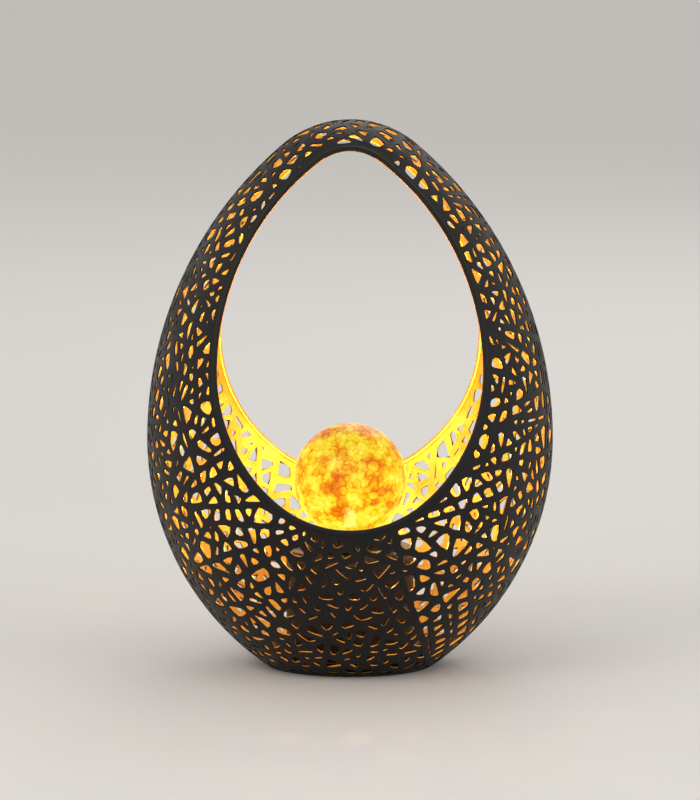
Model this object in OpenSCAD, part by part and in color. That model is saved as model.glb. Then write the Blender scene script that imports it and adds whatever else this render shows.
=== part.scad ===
// Portable solar lamp: a pierced egg-shaped shade that opens front and back,
// with a crackle-glass globe lit from below by a solar lamp module.
// Millimetres, +Z up, origin at the middle of the flat bottom, front towards -Y.

/* [Shade] */
// Overall height of the egg
egg_height = 250; // [230:1:290]
// Widest diameter of the egg
egg_width = 185; // [170:1:210]
// Height of the widest level above the table
widest_height = 104; // [94:1:116]
// Diameter of the flat bottom
bottom_diameter = 76; // [74:1:84]
// Radius of the rounded tip
tip_radius = 47; // [38:1:60]
// Thickness of the pierced sheet
sheet = 1.2; // [0.8:0.1:1.6]

/* [Opening] */
// Width of the cut-out in each half of the shade
opening_width = 124; // [104:1:128]
// Height of the cut-out's lowest point above the table
opening_bottom = 72.5; // [68:0.5:84]
// Height of the cut-out's widest level
opening_middle = 143; // [130:1:152]
// Height of the cut-out's highest point
opening_top = 241; // [228:0.5:242]
// Radius of the cut-out's rounded top
opening_tip_radius = 25; // [18:1:34]
// Radius of the cut-out's rounded bottom
opening_foot_radius = 54; // [42:1:58]
// Diameter of the wire that edges each opening
rim_wire = 2.6; // [2:0.1:3.4]

/* [Piercing] */
// Net cells along the seam from the bottom to the tip, on one side
seam_cells = 15; // [12:1:18]
// Net cells along a quarter of the bottom edge
bottom_cells = 5; // [4:1:6]
// Net cells from the opening to the seam
cells_across = 6; // [4:1:6]
// Width of the metal left between two holes
strut = 2.2; // [1.6:0.1:3]
// Width of the plain border along each edge
border = 2.4; // [1.8:0.1:3.5]
// How far the corners of the net wander, as a share of a cell
wander = 0.33; // [0:0.01:0.36]
// Share of the cells that a diagonal strut divides
divided = 0.35; // [0:0.05:0.5]
// Which random net is drawn
net_seed = 7; // [1:1:99]

/* [Base] */
// Thickness of the base plate
plate = 1.5; // [1.2:0.1:2]
// Height of the base plate's turned-up edge
plate_edge = 7; // [5:0.5:9]
// Radius of the hole through which the module's underside is reached
plate_hole = 24; // [23.6:0.1:25]
// Height of the socket ring that holds the lamp module
socket_height = 9; // [8:0.5:11]
// How far the lamp module turns to come free
module_turn = 34; // [28:1:36]

/* [Lamp module] */
// Outer radius of the module housing
housing_radius = 29; // [28.5:0.1:29.5]
// Wall thickness of the module housing
housing_wall = 2; // [1.6:0.1:2.2]
// Radius of the solar cell
cell_radius = 13.4; // [11:0.1:13.6]

/* [Globe] */
// Outer diameter of the glass globe
globe_diameter = 51.5; // [48:0.5:54]
// Thickness of the glass
glass = 1.8; // [1.4:0.1:2.4]
// Height of the globe's middle above the table
globe_height = 85.2; // [84:0.2:90]
// Outer radius of the globe's neck
neck_radius = 16; // [15.5:0.1:17]
// Height of the globe's round part above the module's lid
neck_length = 11.5; // [10:0.1:13]
// Height of the post that carries the LED
led_post = 9.5; // [7:0.5:12]

/* [Battery and switch] */
// Diameter of the rechargeable cell
battery_diameter = 14.5; // [14:0.1:14.5]
// Length of the rechargeable cell
battery_length = 28.5; // [27:0.5:29]
// Distance of the cell from the middle of the module
battery_offset = 13; // [12.6:0.1:13.4]
// How far the battery cap turns to come free
cap_turn = 60; // [50:1:64]
// Travel of the switch slider
switch_travel = 3; // [2:0.5:4]

/* [Hidden] */

// Outlines are chains of arcs, each [centre, radius, first angle, last angle],
// listed from the bottom up for the half with x over 0.
function side_offset(half_width, length, tip) =
    (pow(length - tip, 2) - pow(half_width - tip, 2)) / (2 * (half_width - tip));
function tip_angle(length, tip, offset) = atan2(length - tip, offset);
function arc_length(arc) = arc[1] * (arc[3] - arc[2]) * PI / 180;
function arc_point(arc, angle) = arc[0] + arc[1] * [cos(angle), sin(angle)];
function chain_length(arcs, i = 0) = i == len(arcs) ? 0 : arc_length(arcs[i]) + chain_length(arcs, i + 1);
function chain_point(arcs, s, i = 0) =
    s <= arc_length(arcs[i]) || i == len(arcs) - 1
    ? arc_point(arcs[i], arcs[i][2] + s / arcs[i][1] * 180 / PI)
    : chain_point(arcs, s - arc_length(arcs[i]), i + 1);

egg_radius = egg_width / 2;
bottom_radius = bottom_diameter / 2;
belly_offset =
    (pow(bottom_radius, 2) + pow(widest_height, 2) - pow(egg_radius, 2)) / (egg_width - bottom_diameter);
belly_radius = egg_radius + belly_offset;
belly_angle = asin(widest_height / belly_radius);
crown_length = egg_height - widest_height;
crown_offset = side_offset(egg_radius, crown_length, tip_radius);
crown_radius = egg_radius + crown_offset;
crown_angle = tip_angle(crown_length, tip_radius, crown_offset);
tip_height = egg_height - tip_radius;
crown_end = widest_height + crown_radius * sin(crown_angle);
egg_arcs = [
    [[-belly_offset, widest_height], belly_radius, -belly_angle, 0],
    [[-crown_offset, widest_height], crown_radius, 0, crown_angle],
    [[0, tip_height], tip_radius, crown_angle, 90],
];

opening_radius = opening_width / 2;
upper_length = opening_top - opening_middle;
upper_offset = side_offset(opening_radius, upper_length, opening_tip_radius);
upper_angle = tip_angle(upper_length, opening_tip_radius, upper_offset);
lower_length = opening_middle - opening_bottom;
lower_offset = side_offset(opening_radius, lower_length, opening_foot_radius);
lower_angle = tip_angle(lower_length, opening_foot_radius, lower_offset);
opening_arcs = [
    [[0, opening_bottom + opening_foot_radius], opening_foot_radius, -90, -lower_angle],
    [[-lower_offset, opening_middle], opening_radius + lower_offset, -lower_angle, 0],
    [[-upper_offset, opening_middle], opening_radius + upper_offset, 0, upper_angle],
    [[0, opening_top - opening_tip_radius], opening_tip_radius, upper_angle, 90],
];

// The angle of the egg's outward normal above the horizon, and its radius, at a height
function normal_angle(z) =
    z < widest_height ? asin((z - widest_height) / belly_radius)
    : z < crown_end ? asin((z - widest_height) / crown_radius)
    : asin(min(1, (z - tip_height) / tip_radius));
function egg_radius_at(z) =
    let (a = normal_angle(z))
    z < widest_height ? belly_radius * cos(a) - belly_offset
    : z < crown_end ? crown_radius * cos(a) - crown_offset
    : tip_radius * cos(a);

// A point brought onto the egg at its own height, and a point on the egg moved to the sheet's inner face
function on_egg(p) =
    let (reach = norm([p.x, p.y]))
    reach < 0.001 ? [0, 0, p.z] : concat(egg_radius_at(p.z) / reach * [p.x, p.y], p.z);
function inside(p) =
    let (reach = norm([p.x, p.y]), a = normal_angle(p.z))
    p - sheet * (reach < 0.001 ? [0, 0, 1] : concat(cos(a) / reach * [p.x, p.y], sin(a)));

// The net lies on the front elevation: column 0 is at the bottom, the columns run
// up the right side to the tip and down the left side, and rows run from the opening to the edge.
half_columns = bottom_cells + seam_cells;
columns = 2 * half_columns;
function edge_point(c) =
    c < bottom_cells ? [bottom_radius * sin(90 * c / bottom_cells), 0]
    : chain_point(egg_arcs, (c - bottom_cells) / seam_cells * chain_length(egg_arcs));
function edge_ease(c) = c < bottom_cells ? 1 - cos(90 * c / bottom_cells) : 1;
function net_point(column, row) =
    let (
        c = column <= half_columns ? column : columns - column,
        side = column <= half_columns ? 1 : -1,
        t = row / cells_across,
        rim = chain_point(opening_arcs, c / half_columns * chain_length(opening_arcs)),
        edge = edge_point(c),
        p = rim + (edge - rim) * (t + edge_ease(c) * t * (1 - t)),
        depth = sqrt(max(0, pow(egg_radius_at(p.y), 2) - pow(p.x, 2)))
    )
    [side * p.x, t < 1 ? -depth : c < bottom_cells ? -depth : 0, p.y];

shift = rands(-wander, wander, 2 * columns * (cells_across + 1), net_seed);
chance = rands(0, 1, columns * cells_across, net_seed + 1);
net = [
    for (c = [0 : columns - 1]) [
        for (r = [0 : cells_across])
            let (i = 2 * (c * (cells_across + 1) + r), loose = r > 0 && r < cells_across)
            net_point(
                loose ? (c + shift[i] + columns) % columns : c,
                loose ? r + shift[i + 1] : r
            )
    ]
];

// A corner of a hole: the corner p of its cell, moved in from the edge before it and the edge after it
function hole_corner(p, before, after, in_before, in_after) =
    let (
        a = (after - p) / norm(after - p),
        b = (before - p) / norm(before - p),
        turn = max(norm(cross(a, b)), 0.5)
    )
    on_egg(p + (a * in_before + b * in_after) / turn);

// The faces of one cell with a hole: its outer face, its inner face and the walls of the hole
function cell_faces(corners, insets) =
    let (
        n = len(corners),
        hole = [
            for (i = [0 : n - 1])
                hole_corner(corners[i], corners[(i + n - 1) % n], corners[(i + 1) % n],
                    insets[(i + n - 1) % n], insets[i])
        ]
    )
    [
        for (i = [0 : n - 1])
            let (
                j = (i + 1) % n,
                a = corners[i], b = corners[j], c = hole[j], d = hole[i]
            )
            each [
                [a, b, c], [a, c, d],
                [inside(b), inside(a), inside(c)], [inside(c), inside(a), inside(d)],
                [d, c, inside(c)], [d, inside(c), inside(d)],
            ]
    ];

function row_inset(r) = r == 0 || r == cells_across ? border : strut / 2;
shell_faces = [
    for (c = [0 : columns - 1], r = [0 : cells_across - 1])
        let (
            next = (c + 1) % columns,
            p = net[c][r], q = net[next][r], s = net[next][r + 1], t = net[c][r + 1],
            low = row_inset(r), high = row_inset(r + 1), web = strut / 2,
            draw = chance[c * cells_across + r]
        )
        each (
            draw > divided ? cell_faces([p, q, s, t], [low, web, high, web])
            : draw > divided / 2
            ? concat(cell_faces([p, q, s], [low, web, web]), cell_faces([p, s, t], [web, high, web]))
            : concat(cell_faces([p, q, t], [low, web, web]), cell_faces([q, s, t], [web, high, web]))
        ),
    for (c = [0 : columns - 1])
        let (
            next = (c + 1) % columns,
            a = net[c][0], b = net[next][0],
            d = net[c][cells_across], e = net[next][cells_across]
        )
        each [
            [b, a, inside(a)], [b, inside(a), inside(b)],
            [d, e, inside(e)], [d, inside(e), inside(d)],
        ]
];

// A closed solid from a list of triangles, each given by its corners
module skin(faces) {
    polyhedron(
        points = [for (f = faces) each f],
        faces = [for (i = [0 : len(faces) - 1]) [3 * i + 2, 3 * i + 1, 3 * i]]
    );
}

// The wire round an opening: rings of corners about the cut edge of the sheet, a hair clear of it
wire_radius = rim_wire / 2;
wire_sides = 6;
wire_gap = 0.2;
function wire_ring(c) =
    let (
        p = net[c][0],
        along = net[(c + 1) % columns][0] - net[(c + columns - 1) % columns][0],
        out = (p - inside(p)) / sheet,
        way = cross(out, along / norm(along)),
        hub = p - out * sheet / 2 + way * (wire_radius + wire_gap)
    )
    [
        for (s = [0 : wire_sides - 1])
            hub + wire_radius * (way * cos(360 * s / wire_sides) - out * sin(360 * s / wire_sides))
    ];
wire_rings = [for (c = [0 : columns - 1]) wire_ring(c)];
function tube_faces(rings, closed) =
    let (n = len(rings), sides = len(rings[0]))
    [
        for (i = [0 : closed ? n - 1 : n - 2], s = [0 : sides - 1])
            let (
                a = rings[i][s], b = rings[i][(s + 1) % sides],
                c = rings[(i + 1) % n][(s + 1) % sides], d = rings[(i + 1) % n][s]
            )
            each [[a, b, c], [a, c, d]],
        if (!closed) for (s = [1 : sides - 2])
            each [
                [rings[0][0], rings[0][s + 1], rings[0][s]],
                [rings[n - 1][0], rings[n - 1][s], rings[n - 1][s + 1]],
            ]
    ];

// The radius, at a height, of a surface that lies a distance inside the egg's lower half
function belly_inset(z, inset) =
    sqrt(pow(belly_radius - inset, 2) - pow(z - widest_height, 2)) - belly_offset;

// Base and socket
gap = 0.3;
seat_inset = sheet + 1;
plate_radius = belly_inset(0, seat_inset);
socket_wall = 4;
socket_bore = housing_radius + 0.4;
socket_radius = socket_bore + socket_wall;
socket_screw_angle = 77;
socket_screw_ring = (socket_bore + socket_radius) / 2;
socket_screw_length = 6.5;
screw_radius = 1.25;
screw_hole = screw_radius + 0.1;
screw_head = 2.4;
screw_head_height = 1.4;
screw_cross = [3, 0.6, 0.6];
lug_count = 3;
lug_reach = 2.4;
lug_half_angle = 10;
lug_play = 1;
lug_bottom = plate + 2.5;
lug_height = 2.5;

// Globe, and the lamp module from the base plate up
globe_radius = globe_diameter / 2;
globe_seal_thickness = 1.5;
module_top = globe_height - sqrt(pow(globe_radius, 2) - pow(neck_radius, 2)) - neck_length;
neck_bottom = module_top + globe_seal_thickness;
collar_wall = 4.2;
collar_height = neck_length - 2.5;
floor_bottom = plate;
floor_thickness = 2.5;
floor_top = floor_bottom + floor_thickness;
lid_thickness = 3.5;
lid_bottom = module_top - lid_thickness;
lid_seal_thickness = 0.8;
housing_top = lid_bottom - lid_seal_thickness;
housing_bore = housing_radius - housing_wall;
boss_ring = 23.5;
boss_radius = 3.6;
boss_top = housing_top - 1.2;
boss_angles = [60, 180, 300];
lid_screw_length = 13;
spigot_depth = 1;
spigot_wall = 1.8;
standoff_radius = 2.4;
standoff_place = 15;
lead_radius = 0.6;
lead_hole = 0.9;
cell_lead_places = [[-6, 8], [6, 8]];
led_radius = 2.5;
led_length = 8.8;
led_rim = [0.4, 1];
led_pin = 0.25;
led_pin_pitch = 1.27;
post_radius = 4.2;
post_bore = 2;
lid_bore = 3.1;
cell_thickness = 1.4;

// Battery, its cap and its contacts
battery_radius = battery_diameter / 2;
cap_radius = 10;
cap_bottom = 0.4;
cap_flange = 1.8;
cap_seal_thickness = 0.7;
cap_pocket = floor_bottom + 1.5;
cap_plug = 8.2;
cap_hole = cap_plug + gap;
cap_lug = 9.6;
cap_lug_angle = 18;
cap_lug_bottom = floor_top + gap;
cap_top = cap_lug_bottom + 1.2;
spring_height = 3.8;
spring_turns = 3;
spring_wire = 0.4;
battery_bottom = cap_top + spring_height;
battery_top = battery_bottom + battery_length;
tube_radius = 11.3;
tube_bore = battery_radius + 0.55;
tube_foot = 10.1;
tube_top = battery_top - 1.3;
contact = 0.6;
board_bottom = battery_top + 0.1 + contact;
board = 1.6;
board_radius = 19.3;
board_top = board_bottom + board;
board_screw_length = 9;
chip_place = [-8, -6];
chip_size = [5, 4, 1.6];
choke_place = [-6, 7];
choke_radius = 3.2;
choke_core = 2.4;
choke_height = 5;
choke_flange = 0.8;
contact_size = [9, 6, contact];
nub_radius = 2.6;
nub_height = 1;
slot_size = [12, 2, 1];
spring_foot = 4.6;
spring_tip = 2;
strip = 0.4;
strip_width = 4;
strip_foot = cap_top + 0.6;
strip_toe = 2.4;
strip_slot = 8;

// Switch
switch_place = [-13, 0];
switch_size = [5.4, 11.5, 5.5];
switch_cavity = [4.2, 8.6, 3];
slider_foot = [3.8, 4, 2.2];
slider_knob = [3, 3];
slider_bottom = 0.6;
switch_lead_place = 3;
switch_window = [slider_knob.x + 2 * gap, slider_knob.y + switch_travel + 2 * gap];

$fn = 96;

// A ring about the vertical axis between two radii and two heights
module ring(inner, outer, bottom, top) {
    difference() {
        translate([0, 0, bottom]) cylinder(r = outer, h = top - bottom);
        translate([0, 0, bottom - 1]) cylinder(r = inner, h = top - bottom + 2);
    }
}

// A part of a ring from one angle to another
module sector(inner, outer, bottom, top, first, last) {
    rotate(first)
        rotate_extrude(angle = last - first)
            translate([inner, bottom]) square([outer - inner, top - bottom]);
}

module box_at(x, y, bottom, size) {
    translate([x - size.x / 2, y - size.y / 2, bottom]) cube(size);
}

// The cross recess of a screw, centred on the height where its floor or roof lies
module cross_recess(height) {
    for (turn = [0, 90]) rotate(turn)
        translate([0, 0, height]) cube([screw_cross.x, screw_cross.y, 2 * screw_cross.z], center = true);
}

// A screw under a pan head whose lower face is at height 0
module pan_screw(length) {
    difference() {
        union() {
            translate([0, 0, -length]) cylinder(r = screw_radius, h = length);
            cylinder(r = screw_head, h = screw_head_height);
        }
        cross_recess(screw_head_height);
    }
}

module front_shell() {
    color("#1b1a19") skin(shell_faces);
}

module rear_shell() {
    color("#1b1a19") rotate(180) skin(shell_faces);
}

module front_rim() {
    color("#24211d") skin(tube_faces(wire_rings, true));
}

module rear_rim() {
    color("#24211d") rotate(180) skin(tube_faces(wire_rings, true));
}

module base_plate() {
    color("#201f1e") difference() {
        rotate_extrude() polygon([
            [plate_hole, 0],
            [plate_radius, 0],
            [belly_inset(plate_edge, seat_inset), plate_edge],
            [belly_inset(plate_edge, seat_inset + plate), plate_edge],
            [belly_inset(plate, seat_inset + plate), plate],
            [plate_hole, plate],
        ]);
        for (i = [0 : lug_count - 1])
            rotate(socket_screw_angle + 360 * i / lug_count)
                translate([socket_screw_ring, 0, -0.01]) {
                    cylinder(r = screw_hole, h = plate + 1);
                    cylinder(r1 = screw_head + 0.1, r2 = screw_hole, h = plate - 0.1);
                }
    }
}

module socket_ring() {
    run_end = module_turn + lug_half_angle + lug_play;
    groove = housing_radius + lug_reach + 0.4;
    color("#2a2a2b") difference() {
        ring(socket_bore, socket_radius, plate, plate + socket_height);
        for (i = [0 : lug_count - 1]) rotate(360 * i / lug_count) {
            sector(socket_bore - 1, groove, lug_bottom - gap, lug_bottom + lug_height + gap,
                -lug_half_angle - lug_play, run_end);
            sector(socket_bore - 1, groove + 0.3, lug_bottom, plate + socket_height + 1,
                run_end - 2 * (lug_half_angle + lug_play), run_end + lug_play);
            rotate(socket_screw_angle)
                translate([socket_screw_ring, 0, 0])
                    cylinder(r = screw_hole, h = socket_screw_length + 0.5);
        }
    }
}

module socket_screws() {
    color("#b9bbbd") for (i = [0 : lug_count - 1])
        rotate(socket_screw_angle + 360 * i / lug_count)
            translate([socket_screw_ring, 0, 0.1]) difference() {
                union() {
                    cylinder(r = screw_radius, h = socket_screw_length);
                    cylinder(r1 = screw_head, r2 = screw_radius, h = plate - 0.2);
                }
                cross_recess(0);
            }
}

module module_housing() {
    color("#262627") difference() {
        union() {
            difference() {
                translate([0, 0, floor_bottom])
                    cylinder(r = housing_radius, h = housing_top - floor_bottom);
                translate([0, 0, floor_top]) cylinder(r = housing_bore, h = housing_top);
            }
            for (i = [0 : lug_count - 1]) rotate(360 * i / lug_count)
                sector(housing_radius - 1, housing_radius + lug_reach, lug_bottom, lug_bottom + lug_height,
                    -lug_half_angle, lug_half_angle);
            for (a = boss_angles) rotate(a)
                translate([boss_ring, 0, floor_top - 0.5])
                    cylinder(r = boss_radius, h = boss_top - floor_top + 0.5);
            translate([battery_offset, 0, floor_top - 0.5])
                cylinder(r = tube_radius, h = tube_top - floor_top + 0.5);
        }
        for (a = boss_angles) rotate(a)
            translate([boss_ring, 0, module_top - lid_screw_length - 1])
                cylinder(r = screw_hole, h = lid_screw_length);
        translate([battery_offset, 0, 0]) {
            cylinder(r = cap_hole, h = tube_top);
            cylinder(r = cap_radius + gap, h = cap_pocket);
            translate([0, 0, floor_top]) cylinder(r = tube_foot, h = cap_top - floor_top + gap);
            for (side = [0, 180]) rotate(side + cap_turn)
                sector(cap_hole - 1, cap_lug + gap, 0, floor_top + 1,
                    -cap_lug_angle - 3, cap_lug_angle + 3);
        }
        box_at(battery_offset - tube_radius, 0, strip_foot - gap,
            [strip_slot, strip_width + 2 * gap, strip + 2 * gap]);
        box_at(switch_place.x, switch_place.y, 0, concat(switch_window, 2 * floor_top));
    }
}

module module_lid() {
    color("#2b2b2c") difference() {
        union() {
            translate([0, 0, lid_bottom]) cylinder(r = housing_radius, h = lid_thickness);
            ring(housing_bore - gap - spigot_wall, housing_bore - gap,
                housing_top - spigot_depth, lid_bottom + 1);
            for (side = [-1, 1])
                translate([0, side * standoff_place, board_top])
                    cylinder(r = standoff_radius, h = lid_bottom + 1 - board_top);
        }
        translate([0, 0, board_top]) cylinder(r = lid_bore, h = module_top);
        for (a = boss_angles) rotate(a)
            translate([boss_ring, 0, boss_top - 1]) cylinder(r = screw_hole, h = module_top);
        for (p = cell_lead_places)
            translate([p.x, p.y, board_top]) cylinder(r = lead_hole, h = module_top);
        for (side = [-1, 1])
            translate([0, side * standoff_place, board_bottom])
                cylinder(r = screw_hole, h = board_screw_length + 0.5);
    }
}

module lid_seal() {
    color("#5b5b58") ring(housing_bore + 0.2, housing_radius - 0.2, housing_top, lid_bottom);
}

module lid_screws() {
    color("#b9bbbd") for (a = boss_angles) rotate(a)
        translate([boss_ring, 0, module_top]) pan_screw(lid_screw_length);
}

module globe() {
    color("#d98a2e", 0.6) rotate_extrude() difference() {
        intersection() {
            union() {
                translate([0, globe_height]) circle(r = globe_radius);
                translate([0, neck_bottom]) square([neck_radius, globe_height - neck_bottom]);
            }
            square([globe_radius + 1, globe_height + globe_radius + 1]);
        }
        translate([0, globe_height]) circle(r = globe_radius - glass);
        translate([-1, neck_bottom - 1]) square([neck_radius - glass + 1, globe_height - neck_bottom]);
    }
}

module globe_seal() {
    color("#8f8f8a") ring(neck_radius - glass, neck_radius, module_top, neck_bottom);
}

module globe_collar() {
    bore = neck_radius + gap;
    color("#2b2b2c") ring(bore, bore + collar_wall, module_top, module_top + collar_height);
}

module solar_cell() {
    color("#16203c") difference() {
        ring(post_radius + gap, cell_radius, module_top, module_top + cell_thickness);
        for (p = cell_lead_places)
            translate([p.x, p.y, module_top - 1]) cylinder(r = lead_hole, h = cell_thickness);
    }
}

module led() {
    seat = module_top + led_post;
    color("#ffd9a0") translate([0, 0, seat]) {
        cylinder(r = led_radius + led_rim[0], h = led_rim[1]);
        cylinder(r = led_radius, h = led_length - led_radius);
        translate([0, 0, led_length - led_radius]) sphere(r = led_radius);
        for (side = [-1, 1])
            translate([0, side * led_pin_pitch, board_bottom - seat - 0.6])
                cylinder(r = led_pin, h = seat - board_bottom + 1);
    }
}

module led_holder() {
    color("#e6e2d8") ring(post_bore, post_radius, module_top, module_top + led_post);
}

module cell_leads() {
    color("#a02020") for (p = cell_lead_places)
        translate([p.x, p.y, board_top]) cylinder(r = lead_radius, h = module_top - board_top);
}

module circuit_board() {
    color("#1f5a38") difference() {
        translate([0, 0, board_bottom]) cylinder(r = board_radius, h = board);
        for (side = [-1, 1]) {
            translate([0, side * standoff_place, board_bottom - 1]) cylinder(r = screw_hole, h = board + 2);
            translate([0, side * led_pin_pitch, board_bottom - 1])
                cylinder(r = led_pin + 0.15, h = board + 2);
        }
    }
}

module board_screws() {
    color("#b9bbbd") for (side = [-1, 1])
        translate([0, side * standoff_place, board_bottom])
            rotate([180, 0, 0]) pan_screw(board_screw_length);
}

module controller_chip() {
    color("#161616") box_at(chip_place.x, chip_place.y, board_bottom - chip_size.z, chip_size);
}

module boost_choke() {
    color("#3c3a38") translate([choke_place.x, choke_place.y, board_bottom - choke_height]) {
        cylinder(r = choke_radius, h = choke_flange);
        cylinder(r = choke_core, h = choke_height);
        translate([0, 0, choke_height - choke_flange]) cylinder(r = choke_radius, h = choke_flange);
    }
}

module battery() {
    color("#3f7d4a") translate([battery_offset, 0, battery_bottom]) {
        cylinder(r = battery_radius, h = battery_length - nub_height);
        cylinder(r = nub_radius, h = battery_length);
    }
}

module positive_contact() {
    color("#c8a24a") box_at(battery_offset - 1, 0, board_bottom - contact, contact_size);
}

module negative_strip() {
    face = battery_offset - tube_radius - gap;
    color("#c8a24a") {
        translate([face - strip, -strip_width / 2, strip_foot])
            cube([strip, strip_width, board_bottom - strip_foot]);
        translate([face - strip, -strip_width / 2, strip_foot]) cube([strip_toe, strip_width, strip]);
    }
}

module battery_cap() {
    color("#262627") translate([battery_offset, 0, 0]) difference() {
        union() {
            translate([0, 0, cap_bottom]) cylinder(r = cap_radius, h = cap_flange);
            translate([0, 0, cap_bottom]) cylinder(r = cap_plug, h = cap_top - cap_bottom);
            for (side = [0, 180]) rotate(side)
                sector(cap_plug - 1, cap_lug, cap_lug_bottom, cap_top, -cap_lug_angle, cap_lug_angle);
        }
        box_at(0, 0, cap_bottom - slot_size.z, [slot_size.x, slot_size.y, 2 * slot_size.z]);
    }
}

module cap_seal() {
    color("#5b5b58") translate([battery_offset, 0, 0])
        ring(cap_plug + 0.1, cap_radius - 0.3,
            cap_bottom + cap_flange, cap_bottom + cap_flange + cap_seal_thickness);
}

module negative_spring() {
    steps = 8 * spring_turns;
    color("#b9bbbd") translate([battery_offset, 0, cap_top]) skin(tube_faces([
        for (i = [0 : steps])
            let (
                turn = 360 * spring_turns * i / steps,
                reach = spring_foot + (spring_tip - spring_foot) * i / steps,
                lift = spring_wire + (spring_height - 2 * spring_wire - 0.1) * i / steps
            )
            [
                for (s = [0 : wire_sides - 1])
                    let (a = 360 * s / wire_sides)
                    [(reach + spring_wire * cos(a)) * cos(turn), (reach + spring_wire * cos(a)) * sin(turn),
                        lift + spring_wire * sin(a)]
            ]
    ], false));
}

module switch_body() {
    color("#9b9ea1") difference() {
        box_at(switch_place.x, switch_place.y, floor_top, switch_size);
        box_at(switch_place.x, switch_place.y, floor_top - 1, switch_cavity + [0, 0, 1]);
    }
}

module switch_leads() {
    color("#202020") for (side = [-1, 1])
        translate([switch_place.x, switch_place.y + switch_lead_place * side, floor_top + switch_size.z])
            cylinder(r = lead_radius, h = board_bottom - floor_top - switch_size.z);
}

module switch_slider() {
    color("#d8d8d4") translate([0, switch_travel / 2, 0]) {
        box_at(switch_place.x, switch_place.y, floor_top + gap, slider_foot);
        box_at(switch_place.x, switch_place.y, slider_bottom,
            concat(slider_knob, floor_top + 1 - slider_bottom));
    }
}

front_shell();
rear_shell();
front_rim();
rear_rim();
base_plate();
socket_ring();
socket_screws();
module_housing();
module_lid();
lid_seal();
lid_screws();
globe();
globe_seal();
globe_collar();
solar_cell();
led();
led_holder();
cell_leads();
circuit_board();
board_screws();
controller_chip();
boost_choke();
battery();
positive_contact();
negative_strip();
battery_cap();
cap_seal();
negative_spring();
switch_body();
switch_leads();
switch_slider();
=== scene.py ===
"""Looks of a portable solar lamp: an egg-shaped shade of pierced sheet, black outside and gold inside,
open front and back, with a lit crackle-glass globe on its solar module.
Metres, +Z up, origin at the middle of the flat bottom, front towards -Y."""

import math

import bmesh
import bpy
import numpy as np
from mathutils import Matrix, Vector
from mathutils.geometry import delaunay_2d_cdt


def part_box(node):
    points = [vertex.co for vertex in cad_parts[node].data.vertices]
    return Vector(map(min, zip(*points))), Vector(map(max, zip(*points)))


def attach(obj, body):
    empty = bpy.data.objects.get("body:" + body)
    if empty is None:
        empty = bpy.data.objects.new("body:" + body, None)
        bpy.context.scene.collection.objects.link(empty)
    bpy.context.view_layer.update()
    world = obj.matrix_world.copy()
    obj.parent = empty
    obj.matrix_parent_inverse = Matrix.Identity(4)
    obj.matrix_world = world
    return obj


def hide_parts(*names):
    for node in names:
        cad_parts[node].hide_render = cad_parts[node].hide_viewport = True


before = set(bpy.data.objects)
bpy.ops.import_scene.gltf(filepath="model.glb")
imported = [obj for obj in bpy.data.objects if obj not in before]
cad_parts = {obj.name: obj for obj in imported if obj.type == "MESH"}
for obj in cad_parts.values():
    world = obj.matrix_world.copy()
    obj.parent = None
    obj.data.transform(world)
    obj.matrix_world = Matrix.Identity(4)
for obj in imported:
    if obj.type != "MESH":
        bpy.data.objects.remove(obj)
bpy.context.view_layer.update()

bl_info = {
    "name": "Portable solar lamp",
    "version": (1, 0, 0),
    "blender": (4, 5, 0),
    "location": "View3D > Sidebar > Solar lamp",
    "description": "Builds the pierced shade, the crackle globe and the finishes of a portable solar lamp",
    "category": "Object",
}

MM = 0.001
# A hole narrower than this stays closed
SLIT = 0.55 * MM
# Points of the net closer than these to an edge or to the seam lie on it
ON_EDGE, ON_SEAM = 0.01 * MM, 0.1 * MM
globe_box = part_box("globe")
collar_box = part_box("globe_collar")
led_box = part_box("led")
# Pieces that the lamp's small light isn't cast on, because they shine or stand right beside it
NEAR_LIGHT = ("crackle_globe", "ribbed_collar", "led", "led_holder", "solar_cell", "globe_seal")
# Pieces that throw no shadow from it
CLEAR_OF_LIGHT = ("crackle_globe", "led")
# Each studio light's name, place, size, power and colour
AREA_LIGHTS = (
    ("key", (-0.9, -1.1, 1.2), 0.9, 8.0, (1.0, 0.97, 0.93)),
    ("fill", (1.2, -0.8, 0.7), 1.0, 3.5, (0.95, 0.97, 1.0)),
    ("back", (0.3, 1.3, 1.1), 0.9, 4.0, (1.0, 0.98, 0.95)),
)
# The rear half is the front half's outline turned about the upright axis
HALVES = (("front", np.array([1, 1, 1])), ("rear", np.array([-1, -1, 1])))


def length(label, text, default):
    return bpy.props.FloatProperty(
        name=label, description=text, default=default, min=0.0, unit="LENGTH", precision=4)


def count(label, text, default):
    return bpy.props.IntProperty(name=label, description=text, default=default, min=1)


def colour(label, text, default):
    return bpy.props.FloatVectorProperty(
        name=label, description=text, default=default, size=3, min=0.0, max=1.0, subtype="COLOR")


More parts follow.
